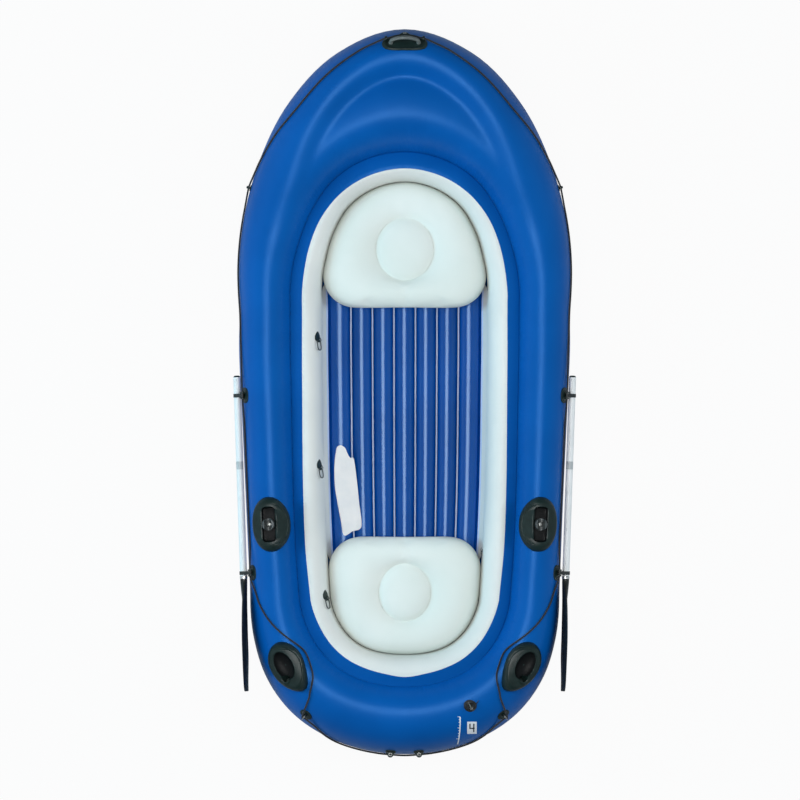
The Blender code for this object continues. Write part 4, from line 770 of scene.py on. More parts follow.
def join(name, things):
    """Several made pieces as one, named after what they are together."""
    bm = bmesh.new()
    looks = []
    for thing in things:
        matrix = thing.matrix_world.copy()
        copy = thing.data.copy()
        copy.transform(matrix)
        slots = []
        for look in thing.data.materials:
            if look not in looks:
                looks.append(look)
            slots.append(looks.index(look))
        for face in copy.polygons:
            face.material_index = slots[face.material_index]
        bm.from_mesh(copy)
        bpy.data.meshes.remove(copy)
    mesh = bpy.data.meshes.new(name)
    bm.to_mesh(mesh)
    bm.free()
    for look in looks:
        mesh.materials.append(look)
    for thing in things:
        bpy.data.objects.remove(thing)
    made = bpy.data.objects.new(name, mesh)
    bpy.context.scene.collection.objects.link(made)
    return made


def carved(thing, *cutters):
    """Cuts the cutters out of a piece for good."""
    for cutter in cutters:
        modifier = thing.modifiers.new("cut", "BOOLEAN")
        modifier.operation = "DIFFERENCE"
        modifier.solver = "EXACT"
        modifier.object = cutter
    graph = bpy.context.evaluated_depsgraph_get()
    made = bpy.data.meshes.new_from_object(thing.evaluated_get(graph))
    thing.modifiers.clear()
    thing.data = made
    made.shade_smooth()
    made.set_sharp_from_angle(angle=math.radians(32))
    for cutter in cutters:
        bpy.data.objects.remove(cutter)
    return thing


def settle(piece, body, slot_name, *nodes):
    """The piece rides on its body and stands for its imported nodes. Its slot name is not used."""
    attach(piece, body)
    if nodes:
        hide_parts(*nodes)


def side_name(name, side):
    return f"{name}_{'right' if side > 0 else 'left'}"


# ---------------------------------------------------------------- hull, floor and seats

RAY_STEPS = 7
TOP_ROWS = 44
LOW_ROWS = 22


def rays_round():
    """Rays and sides all round the hull, clockwise from the stem."""
    rays = [step / RAY_STEPS for step in range(LAST_RAY * RAY_STEPS + 1)]
    return [(ray, 1) for ray in rays] + [(ray, -1) for ray in reversed(rays[1:-1])]


def hull_swell(point):
    """The slight waviness of a filled skin."""
    return noise.noise(point * 2.4) * 0.0016


def hull_outer_skin():
    """The big blue chamber, with a welded strip along its widest line and slight swells of a filled skin."""
    turns = [1 - step / TOP_ROWS for step in range(TOP_ROWS)] + [-step / LOW_ROWS for step in range(LOW_ROWS + 1)]
    stations = rays_round()
    rows = [[outer_skin(ray, turn, side) for turn in turns] for ray, side in stations]

    def weld_at(_i, j):
        nearest = min(abs(turns[j]), abs(1 - turns[j]), abs(turns[j] + 1))
        return math.exp(-nearest * 9)

    skin = sheeted("hull_outer_skin", rows, [BLUE_VINYL], ring=True, weld_of=weld_at, sharp=75.0)
    width = len(turns)

    def swell_at(index):
        turn = turns[index % width]
        if abs(turn) > 0.985:
            return 0.0
        # The welded strip lies a little under the widest line.
        strip = 0.0007 * smooth_step((0.075 - abs(turn + 0.02)) / 0.02)
        wander = hull_swell(skin.data.vertices[index].co)
        return strip + wander * smooth_step((1 - abs(turn)) / 0.2)

    push(skin, swell_at)
    settle(skin, "hull", "blue_skin", "hull_outer_chamber")


def hull_inner_skin():
    """The inner chamber: blue on its outboard shoulder, then a white wall panel welded on over the blue."""
    stations = rays_round()
    # Rows go from the crease to the panel's edge, on to the wall's foot, and back underneath.
    rows, panel_row, wall_steps = [], 10, 18
    foot_row = panel_row + 1 + wall_steps
    for ray, side in stations:
        start, half, _top, turn, half_out = inner_angles(ray)
        offset = reach(PANEL_SHARES, ray) - (start - half)
        edge = math.asin(max(-0.9, min(0.9, offset / (half_out if offset > 0 else half))))
        angles = [mix(turn, edge, step / panel_row) for step in range(panel_row + 1)]
        angles += [mix(edge - 0.035, -math.pi / 2, step / wall_steps) for step in range(wall_steps + 1)]
        row = [inner_point(ray, angle, side) for angle in angles]
        row += [inner_point(ray, mix(-math.pi / 2, turn, step / 12), side, low=True) for step in range(1, 12)]
        rows.append(row)
    skin = sheeted("hull_inner_skin", rows, [BLUE_VINYL, WHITE_VINYL], ring=True,
                   look_of=lambda _i, j: 0 if j < panel_row else 1,
                   weld_of=lambda _i, j: math.exp(-abs(j - panel_row) * 0.35) + (0.6 if j > foot_row - 3 else 0.0),
                   sharp=75.0)
    width = len(rows[0])

    def swell_at(index):
        j = index % width
        lap = 0.0008 if panel_row < j <= panel_row + 3 else 0.0
        wander = noise.noise(skin.data.vertices[index].co * 3.1) * 0.0012
        return lap + (wander if 1 < j < foot_row - 2 else 0.0)

    push(skin, swell_at)
    settle(skin, "hull", "white_skin", "hull_inner_chamber")


def hull_bottom():
    """The sheet under the boat, out to where the chamber touches it, with a welded rim."""
    edge = []
    for ray, side in rays_round():
        band = Band(ray)
        x, y = plan_point(ray, band.edge - band.crest)
        edge.append(Vector((side * x, y, 0)))
    centre = Vector((0, -0.1, 0))
    # From the middle of the upper face out to the rim, and back underneath: shares of the way, and heights.
    marks = ((0.001, 0.0019), (0.5, 0.0019), (0.90, 0.0019), (0.98, 0.0020), (0.995, 0.0020), (1.0, 0.0014),
             (1.0, 0.0004), (0.996, 0.0), (0.975, 0.0), (0.972, 0.0004), (0.5, 0.0004), (0.001, 0.0004))
    rows = [[centre.lerp(point, share) + Vector((0, 0, height)) for point in edge] for share, height in marks]
    # The weld runs round the rim, over the middle ones of these rows.
    sheet = sheeted("hull_bottom_sheet", rows, [BLUE_VINYL], weld_of=lambda i, _j: 0.7 if 3 <= i <= 9 else 0.0)
    settle(sheet, "hull", "blue_skin", "bottom_sheet")


def floor_tubes():
    """The air floor: seven tubes with a narrow pale weld between each two, and a pale skirt up to the walls."""
    aft = plan_point(LAST_RAY, reach(WALL_SHARES, LAST_RAY) - FLOOR_END_ROOM)[1]
    fore = plan_point(0, reach(WALL_SHARES, 0) - FLOOR_END_ROOM)[1]
    full = FLOOR_TUBES * TUBE_PITCH / 2
    steps, last_tube = 18, FLOOR_TUBES - 1
    # The stations are closer together towards both ends, where the tubes rise within the first seven.
    stations = [0.045 + 0.91 * step / 120 for step in range(121)]
    rows = []
    for index, turn in enumerate(stations):
        y = mix(fore, aft, (1 - math.cos(math.pi * turn)) / 2)
        width = min(full, half_width_at(WALL_SHARES, y, FLOOR_END_ROOM) - FLANGE_WIDTH)
        rise = smooth_step(min(index, len(stations) - 1 - index) / 7) ** 0.5
        pitch = 2 * width / FLOOR_TUBES
        wall = half_width_at(WALL_SHARES, y, 0.0)
        # The skirt climbs the wall where it can be seen, and stays flat under the seats.
        free = smooth_step((BOW_SEAT[0] + SKIRT_UNDER_SEAT - y) / SKIRT_RISE)
        free *= smooth_step((y - STERN_SEAT[0] + SKIRT_UNDER_SEAT) / SKIRT_RISE)
        skirt = [(mix(width + flat[0], wall + up[0], free), mix(flat[1], up[1], free))
                 for flat, up in zip(SKIRT_FLAT, SKIRT_CLIMBING)]
        skirt.append((width + SKIRT_HEM[0], SKIRT_HEM[1]))
        row = list(skirt)
        for tube_index in range(FLOOR_TUBES):
            start = width - pitch * tube_index
            for step in range(steps + 1):
                share = step / steps
                inset = FLOOR_WELD / 2 + (pitch - FLOOR_WELD) * (1 - math.cos(math.pi * share)) / 2
                outside = (tube_index == 0 and share < 0.5) or (tube_index == last_tube and share > 0.5)
                height = mix(FLOOR_RIM if outside else FLOOR_SEAM, FLOOR_TOP, math.sin(math.pi * share) ** 0.92)
                row.append((start - inset, height))
        row += [(-x, height) for x, height in reversed(skirt)]
        row = [(x, mix(FLANGE_TOP, height, rise) if height > FLANGE_TOP else height) for x, height in row]
        rows.append([Vector((x, y, height)) for x, height in row])
    # Along each row: 0 is a tube, 1 a weld and 2 the skirt.
    looks = [2, 2, 2, 1, 0] + ([0] * steps + [1]) * last_tube + [0] * (steps + 1) + [1, 2, 2, 2, 2]

    def weld_of(_i, j):
        place = (j - len(skirt)) % (steps + 1)
        return math.exp(-min(place, steps - place) * 0.8)

    skin = sheeted("floor_tubes_skin", rows, [FLOOR_VINYL, SEAM_VINYL, WHITE_VINYL], look_of=lambda _i, j: looks[j],
                   weld_of=weld_of, sharp=50.0)
    settle(skin, "hull", "blue_skin", "floor_chamber")


def seat_outline(edge_y, centre_y, count):
    """A seat's outline: a straight edge, two round corners and the cockpit's rounded end."""
    toward = 1 if centre_y > edge_y else -1
    corner_y = edge_y + toward * SEAT_CORNER
    side_x = half_width_at(WALL_SHARES, corner_y, GAP)
    points = [(0.0, edge_y), ((side_x - SEAT_CORNER) / 2, edge_y)]
    for step in range(13):
        angle = math.pi / 2 * step / 12
        x = side_x - SEAT_CORNER + SEAT_CORNER * math.sin(angle)
        points.append((x, corner_y - toward * SEAT_CORNER * math.cos(angle)))
    low, _ = ray_of(side_x, corner_y)
    last = 0.0 if toward > 0 else float(LAST_RAY)
    for step in range(1, 25):
        ray = mix(low, last, step / 24)
        points.append(plan_point(ray, reach(WALL_SHARES, ray) - GAP))
    right = even_steps(points, count // 2)
    return right + [(-x, y) for x, y in reversed(right[1:-1])]


def even_steps(points, count):
    """Points at even distances along the line through the given ones."""
    lengths = [0.0]
    for (ax, ay), (bx, by) in zip(points, points[1:]):
        lengths.append(lengths[-1] + math.hypot(bx - ax, by - ay))
    found = []
    for step in range(count + 1):
        aim = lengths[-1] * step / count
        low = max(i for i in range(len(points) - 1) if lengths[i] <= aim + 1e-9)
        share = (aim - lengths[low]) / (lengths[low + 1] - lengths[low])
        found.append(tuple(mix(a, b, min(1.0, share)) for a, b in zip(points[low], points[low + 1])))
    return found


# From a seat's underside over its rim to the disc's weld, and on to the disc's middle: shares of the way inwards, and
# of the height.
SEAT_RINGS = (
    (0.30, 0.00), (0.10, 0.06), (0.02, 0.20), (0.00, 0.42), (0.02, 0.62), (0.07, 0.78),
    (0.17, 0.90), (0.34, 0.98), (0.58, 1.00), (0.80, 0.965), (0.93, 0.905), (1.00, 0.84),
)
DISC_RINGS = ((1.0, 0.84), (0.94, 0.88), (0.80, 0.94), (0.50, 0.985), (0.02, 1.0))
SEAT_CORNERS = 120
RIM_ROW = 10


def seat_cushion(node, edge_y, centre_y, disc):
    """A blown seat: full crown, drawn-in sides, a welded round disc in the middle and a weld round the rim."""
    outline = [Vector((x, y, 0)) for x, y in seat_outline(edge_y, centre_y, SEAT_CORNERS)]
    height = SEAT_TOP - SEAT_BOTTOM - 0.002
    middle = Vector((0, centre_y, 0))
    seam = []
    for point in outline:
        angle = math.atan2(point.y - centre_y, point.x)
        seam.append(middle + Vector((disc[0] * math.cos(angle), disc[1] * math.sin(angle), 0)))
    rows = []
    for mark in curve_through(SEAT_RINGS, 3):
        lift = Vector((0, 0, SEAT_BOTTOM + GAP + height * min(mark.y, 1.0)))
        rows.append([a.lerp(b, min(mark.x, 1.0)) + lift for a, b in zip(outline, seam)])
    seam_row = len(rows) - 1
    for mark in curve_through(DISC_RINGS, 3)[1:]:
        lift = Vector((0, 0, SEAT_BOTTOM + height * mark.y))
        rows.append([middle + (b - middle) * mark.x + lift for b in seam])

    def weld_of(i, _j):
        return max(math.exp(-abs(i - seam_row) * 0.9), 0.8 * math.exp(-abs(i - RIM_ROW) * 0.6))

    cushion = sheeted(f"{node}_cushion", rows, [SEAT_VINYL], sharp=180.0, weld_of=weld_of)
    blow_up(cushion, seam_row)
    finer = cushion.modifiers.new("finer", "SUBSURF")
    finer.levels = finer.render_levels = 1
    settle(cushion, node, "white_skin", node)


def blow_up(cushion, seam_row):
    """Fills a cushion by cloth simulation: the disc's weld and the underside stay, the rest swells."""
    start = [vert.co.copy() for vert in cushion.data.vertices]
    held = cushion.vertex_groups.new(name="held")
    for index in range(len(start)):
        row = index // SEAT_CORNERS
        if row <= 2 or row == seam_row:
            held.add([index], 1.0, "REPLACE")
    cloth = cushion.modifiers.new("air", "CLOTH")
    cloth.settings.vertex_group_mass = "held"
    cloth.settings.quality = 6
    cloth.settings.mass = 0.4
    cloth.settings.tension_stiffness = cloth.settings.compression_stiffness = 40
    cloth.settings.bending_stiffness = 0.6
    cloth.settings.use_pressure = True
    cloth.settings.uniform_pressure_force = 4.0
    cloth.settings.effector_weights.gravity = 0.0
    cloth.collision_settings.use_collision = False
    frames = 20
    cloth.point_cache.frame_start, cloth.point_cache.frame_end = 1, frames
    for step in range(1, frames + 1):
        bpy.context.scene.frame_set(step)
    graph = bpy.context.evaluated_depsgraph_get()
    blown = [vert.co.copy() for vert in cushion.evaluated_get(graph).data.vertices]
    cushion.modifiers.remove(cloth)
    bpy.context.scene.frame_set(1)
    # The skin moves no further than its slack, and nowhere beyond its outline in the plan or above the seat's top.
    middle = sum(start, Vector()) / len(start)
    widest = [max((place - middle).to_2d().length for place in start[k::SEAT_CORNERS]) for k in range(SEAT_CORNERS)]
    for index, (before, after) in enumerate(zip(start, blown)):
        move = after - before
        if move.length > SEAT_SLACK:
            move *= SEAT_SLACK / move.length
        place = before + move
        away = (place - middle).to_2d()
        limit = widest[index % SEAT_CORNERS]
        if away.length > limit:
            away *= limit / away.length
            place = Vector((middle.x + away.x, middle.y + away.y, place.z))
        place.z = min(place.z, SEAT_TOP)
        cushion.data.vertices[index].co = place
    cushion.data.update()


# ---------------------------------------------------------------- fittings

def rounded_loop(inner, outer, low, high, edge, steps=4):
    """The closed profile of a ring or plate: radii and heights with rounded corners."""
    corners = (((outer, low), (-1, 1), 270), ((outer, high), (-1, -1), 0), ((inner, high), (1, -1), 90),
               ((inner, low), (1, 1), 180))
    profile = []
    for (radius, height), (in_x, in_z), start in corners:
        for step in range(steps):
            angle = math.radians(start + 90 * step / (steps - 1))
            profile.append((radius + edge * (in_x + math.cos(angle)), height + edge * (in_z + math.sin(angle))))
    return profile


def washer(name, matrix, inner, outer, low, high, looks, edge=0.0008):
    """A flat ring or a short pipe about local Z, with rounded edges."""
    return turned(name, rounded_loop(inner, outer, low, high, edge), matrix, looks, sides=40, ring=True)


def radius_at(outline, centre, angle):
    """How far the outline lies from a centre in a direction."""
    way = Vector((math.cos(angle), math.sin(angle)))
    best = 0.0
    for a, b in zip(outline, outline[1:] + outline[:1]):
        start, end = Vector(a) - Vector(centre), Vector(b) - Vector(centre)
        side = end - start
        cross = way.x * side.y - way.y * side.x
        if abs(cross) < 1e-12:
            continue
        along = (start.x * side.y - start.y * side.x) / cross
        share = (start.x * way.y - start.y * way.x) / cross
        if along > 0 and -1e-6 <= share <= 1 + 1e-6:
            best = max(best, along)
    return best


def holed_plate(name, matrix, outline, centre, hole, half_width, edge):
    """A flat rubber plate with rounded edges and a round hole. Its outline lies in local X and Y."""
    rows = []
    # The profile is a narrow ring's, and its outer half is moved out to the outline.
    for radius, height in rounded_loop(hole, hole + 4 * edge, -half_width, half_width, edge):
        row = []
        for angle in angles_round(56):
            size = radius
            if radius >= hole + 2 * edge:
                size = radius_at(outline, centre, angle) - (hole + 4 * edge - radius)
            x, y = centre[0] + size * math.cos(angle), centre[1] + size * math.sin(angle)
            row.append(matrix @ Vector((x, y, height)))
        rows.append(row)
    return sheeted(name, rows, [RUBBER], ring=True, sharp=45.0)


def moulded_pad(name, patch, outline, height, looks, edge, bead=0.0):
    """A moulded patch that follows the skin, with a rounded edge and, inside it, a low bead."""
    rows = [[patch.wrap(x, y, SUNK) for x, y in outline]]
    for step in range(6):
        angle = math.pi / 2 * step / 5
        ring = grown(outline, -edge * (1 - math.cos(angle)))
        rows.append([patch.wrap(x, y, height - edge * (1 - math.sin(angle))) for x, y in ring])
    for inset, rise in ((0.8, 0.3), (1.4, 1.0), (2.0, 0.3), (2.6, 0.0)) if bead else ():
        rows.append([patch.wrap(x, y, height + bead * rise) for x, y in grown(outline, -edge * (1 + inset))])
    for share in (0.62, 0.35, 0.05):
        rows.append([patch.wrap(x * share, y * share, height) for x, y in outline])
    return sheeted(name, rows, looks, sharp=50.0)


def lug_eye(name, patch, height):
    """A moulded eye that stands across the line, on a short foot."""
    outer, hole = 0.0092, 0.0050
    across = patch.matrix(height=height) @ Matrix.Rotation(math.pi / 2, 4, "X")
    ring = washer(name, across, hole, outer, -LOOP_WIDTH / 2, LOOP_WIDTH / 2, [RUBBER], 0.0014)
    rows = []
    for share, level in ((1.25, -0.0005), (1.15, 0.0016), (1.0, 0.0032), (0.9, height - hole)):
        half = (outer * 0.8 * share, LOOP_WIDTH * 0.46 * share)
        rows.append([patch.rigid(x, y, level) for x, y in oval(half, 24, 3.0)])
    foot = sheeted(name + "_foot", rows, [RUBBER])
    return [ring, foot]


def handle_eye(side):
    """Where the grab line's eye stands beside the handle."""
    middle = Patch(outer_skin, *HANDLE_SHARES, 1)
    turn = middle.turn - HANDLE_OVER / middle.outward_rate
    return Patch(outer_skin, LINE_EYE_ALONG / middle.forward_rate, turn, side)


def bow_handle():
    """The carrying handle: a dished pad with a beaded rim, a towing eye at its tip, and a ribbed grip."""
    patch = Patch(outer_skin, *HANDLE_SHARES, 1)
    outline = []
    for x, y in oval((0.040, 0.089), 120, 2.4):
        outline.append((max(x, HANDLE_EYE - abs(y) ** 1.35 * 3.4) if x > 0 else x, y))
    marks = ((1.0, -0.3), (1.0, 0.25), (0.985, 0.62), (0.955, 0.86), (0.92, 1.0), (0.885, 1.30), (0.85, 1.36),
             (0.815, 1.22), (0.78, 0.70), (0.74, 0.42), (0.66, 0.34), (0.50, 0.34), (0.28, 0.34), (0.04, 0.34))
    rows = []
    for share, level in marks:
        row = []
        for x, y in outline:
            u, v = x * share, y * share
            height = PAD_HEIGHT * level
            boss = math.exp(-(((abs(v) - 0.052) / 0.013) ** 2 + ((u + 0.004) / 0.013) ** 2))
            height = mix(height, max(height, PAD_HEIGHT * 1.02), smooth_step(1.6 * boss))
            if u > 0.034:
                height = max(height, min(PAD_HEIGHT, PAD_HEIGHT * level + 0.004)) if share < 0.95 else height
            row.append(patch.wrap(u, v, height))
        rows.append(row)
    pieces = [sheeted("bow_handle_base", rows, [RUBBER], sharp=50.0)]
    for side in (-1, 1):
        pieces += lug_eye("handle_line_eye", handle_eye(side), PAD_HEIGHT + LINE_ON_PAD)
    eye_out = HANDLE_EYE - 2.2 * EYELET_RADIUS
    frame = Patch(outer_skin, 0.0, patch.turn - eye_out / patch.outward_rate, 1).matrix()
    pieces.append(washer("towing_boss", frame, 0.0054, 0.0098, SUNK, PAD_HEIGHT, [RUBBER], 0.0012))
    settle(join("bow_handle_base", pieces), "hull", "black_rubber", "bow_handle_pad")
    lifted = frame @ Matrix.Translation((0, 0, PAD_HEIGHT + GAP))
    settle(grommet("towing_eye_steel", lifted, 0.003), "hull", "steel", "towing_eye")
    # The grip stands a little inboard, with a foot at both ends and ribs 8 mm apart.
    low, out, foot, foot_radius = PAD_HEIGHT + GAP, -0.004, 0.0535, 0.0092
    points, sizes = [patch.wrap(out, foot, low)], [foot_radius]
    for step in range(49):
        angle = math.pi * step / 48
        along = 0.052 * math.cos(angle)
        points.append(patch.wrap(out, along, mix(low + 0.0075, 0.030, math.sin(angle))))
        ribs = 0.00035 * math.cos(2 * math.pi * along / 0.008) if abs(along) < 0.038 else 0.0
        sizes.append(0.0075 - 0.0006 * smooth_step(abs(along) / 0.05) + ribs)
    points.append(patch.wrap(out, -foot, low))
    sizes.append(foot_radius)
    # The grip is drawn grey, lighter than its black rubber, as painted highlight along the bar.
    grip = tube("bow_handle_bar", points, sizes, [GREY_PLASTIC_AND_GRIP_HIGHLIGHT], sides=28, up=Vector((0, 0, 1)))
    settle(grip, "hull", "grey_grip", "bow_handle_grip")


def grommet(name, matrix, depth):
    """A rolled steel eyelet: a rounded flange and a barrel into the hole."""
    profile = [(0.0032, -depth), (0.0050, -depth), (0.0050, 0.0), (0.0068, 0.0), (EYELET_RADIUS, 0.0004),
               (0.0071, 0.0009), (0.0063, 0.0014), (0.0050, 0.0016), (0.0039, 0.0013), (0.0033, 0.0006),
               (0.0032, -0.0006)]
    return turned(name, profile, matrix, [SATIN_STEEL], sides=40, ring=True, sharp=40.0)


def bow_loop(side):
    """A small pad with an eye for the grab line."""
    patch = Patch(outer_skin, BOW_LOOP_RAY, BOW_LOOP_TURN, side)
    name = side_name("bow_loop_moulding", side)
    pieces = [moulded_pad(name, patch, oval((0.012, 0.012), 40), 0.0035, [RUBBER], 0.0016)]
    pieces += lug_eye(name, patch, EYE_HEIGHT)
    settle(join(name, pieces), "hull", "black_rubber", side_name("bow_loop", side))


def quarter_loop(side):
    """A moulded patch with a lug, and the steel ring that hangs in it and holds the grab line."""
    patch = Patch(outer_skin, *QUARTER_SHARES, side)
    name = side_name("quarter_moulding", side)
    pad = moulded_pad(name, patch, oval((0.023, 0.026), 56), 0.003, [RUBBER], 0.0016, 0.0007)
    across = patch.matrix(height=LUG_SIZE / 2) @ Matrix.Rotation(math.pi / 2, 4, "Y")
    outline = [(-0.0060, -0.0065), (0.0060, -0.0065), (0.0060, 0.0065), (-0.0060, 0.0065)]
    lug = holed_plate("lug", across, outline, (0, 0), 0.0037, LUG_WIDTH / 2, 0.0010)
    settle(join(name, [pad, lug]), "hull", "black_rubber", side_name("quarter_patch", side))
    frame = patch.matrix()
    points = []
    for angle in angles_round(56):
        height = LUG_SIZE / 2 + RING_RADIUS * (1 + math.cos(angle))
        points.append(frame @ Vector((RING_RADIUS * math.sin(angle), 0, height)))
    ring = tube(side_name("quarter_ring_steel", side), points, 0.0021, [SATIN_STEEL], closed=True, sides=18)
    settle(ring, "hull", "steel", side_name("quarter_ring", side))


def stern_tab(side):
    """A level lug on a small pad, with a steel eyelet in its hole."""
    distance = Band(LAST_RAY).edge
    ray = LAST_RAY - math.asin(STERN_TAB_X / distance) / FAN
    patch = Patch(outer_skin, ray, STERN_TAB_TURN, side)
    name = side_name("stern_tab_moulding", side)
    pad = moulded_pad(name, patch, oval((0.020, 0.020), 48, 3.0), 0.003, [RUBBER], 0.0014)
    up = Vector((0, 0, 1))
    out = Vector((patch.normal.x, patch.normal.y, 0)).normalized()
    frame = axes_matrix(patch.centre, out.cross(up), out, up)
    shape = [(-0.0195, -0.008), (0.0195, -0.008), (0.0195, 0.001), (0.0150, 0.008), (0.0095, 0.0185),
             (0.006, 0.0215), (0.002, 0.0228), (-0.002, 0.0228), (-0.006, 0.0215), (-0.0095, 0.0185),
             (-0.0150, 0.008), (-0.0195, 0.001)]
    hole, half_width = (0, 0.0105), 0.0025
    lug = holed_plate("lug", frame, shape, hole, 0.0053, half_width, 0.0010)
    settle(join(name, [pad, lug]), "hull", "black_rubber", side_name("stern_tab", side))
    eye = frame @ Matrix.Translation((*hole, half_width + GAP))
    eyelet = grommet(side_name("stern_eyelet_steel", side), eye, 0.0035)
    settle(eyelet, "hull", "steel", side_name("stern_eyelet", side))


def keeper_patch(side, index):
    """Where a keeper sits on the hull."""
    rear = Patch(outer_skin, *REAR_KEEPER_SHARES, side)
    return rear if index else Patch(outer_skin, *FRONT_KEEPER_SHARES, side)


def oar_frame(side):
    """The stowed oar's frame: origin on the middle of its head, +Y forward along the shaft."""
    front, rear = (keeper_patch(side, i).rigid(out, 0, height) for i, (out, height) in enumerate(OAR_HANGS))
    forward = (front - rear).normalized()
    across = forward.cross(Vector((0, 0, 1))).normalized()
    return axes_matrix(front + forward * HEAD_AHEAD, across, forward, across.cross(forward))


def along_oar(side, index):
    """A keeper's place, turned to lie along its oar."""
    patch = keeper_patch(side, index)
    way = oar_frame(side).col[1].xyz
    patch.forward = (way - patch.normal * way.dot(patch.normal)).normalized()
    patch.outward = patch.forward.cross(patch.normal) * side
    return patch


def keeper(side, index):
    """A patch with two pierced cheeks for the line, and a ribbed strap round line and oar."""
    place = ("front", "rear")[index]
    patch = along_oar(side, index)
    name = side_name(f"oar_keeper_moulding_{place}", side)
    pieces = [moulded_pad(name, patch, oval((0.030, 0.031), 64, 2.6), 0.0025, [RUBBER], 0.0014, 0.0008)]
    cheek = 0.0055
    shape = [(-0.0084, 0.0), (0.0084, 0.0), (0.0084, 0.0130), (0.0070, 0.0175), (0.0040, 0.0200), (-0.0040, 0.0200),
             (-0.0070, 0.0175), (-0.0084, 0.0130)]
    for way in (-1, 1):
        middle = patch.matrix(forward=way * (CHEEK_GAP + cheek) / 2) @ Matrix.Rotation(math.pi / 2, 4, "X")
        pieces.append(holed_plate("cheek", middle, shape, (0, KEEPER_LINE), 0.0043, cheek / 2, 0.0008))
    settle(join(name, pieces), "hull", "black_rubber", side_name(f"oar_keeper_{place}", side))
    shaft = oar_frame(side)
    # The line's place in the oar's own frame.
    behind = shaft.inverted() @ patch.rigid(0, 0, KEEPER_LINE)
    frame = shaft @ Matrix.Translation((0, behind.y, 0))
    band = strap(side_name(f"keeper_strap_band_{place}", side), frame, (behind.x, behind.z), 0.0039, 0.0144)
    settle(band, "hull", "strap_rubber", side_name(f"keeper_strap_{place}", side))


def strap(name, frame, post_at, small, large):
    """A ribbed rubber band drawn tight round two round things: the oar at the origin and the line."""
    distance = math.hypot(*post_at)
    lean = math.atan2(post_at[1], post_at[0])
    slope = math.acos((large - small) / distance)
    # The path goes the long way round the oar, then round the line.
    path = [(0.0, 0.0, large, lean + mix(slope, 2 * math.pi - slope, step / 40)) for step in range(41)]
    path += [(*post_at, small, lean + mix(-slope, slope, step / 16)) for step in range(17)]
    thick, rib, half_width = 0.0018, 0.0005, 0.007
    loop = rounded_loop(0.0, thick, -half_width, half_width, 0.0005, 3)
    ribs = [(thick - (rib if step % 2 else 0.0), step * 0.0015) for step in range(-3, 4)]
    section = loop[:3] + ribs + loop[3:]
    rows = []
    for x, z, radius, angle in path:
        row = []
        for extra, y in section:
            size = radius + extra
            row.append(frame @ Vector((x + size * math.cos(angle), y, z + size * math.sin(angle))))
        rows.append(row)
    return sheeted(name, rows, [STRAP_RUBBER], ring=True, sharp=60.0)


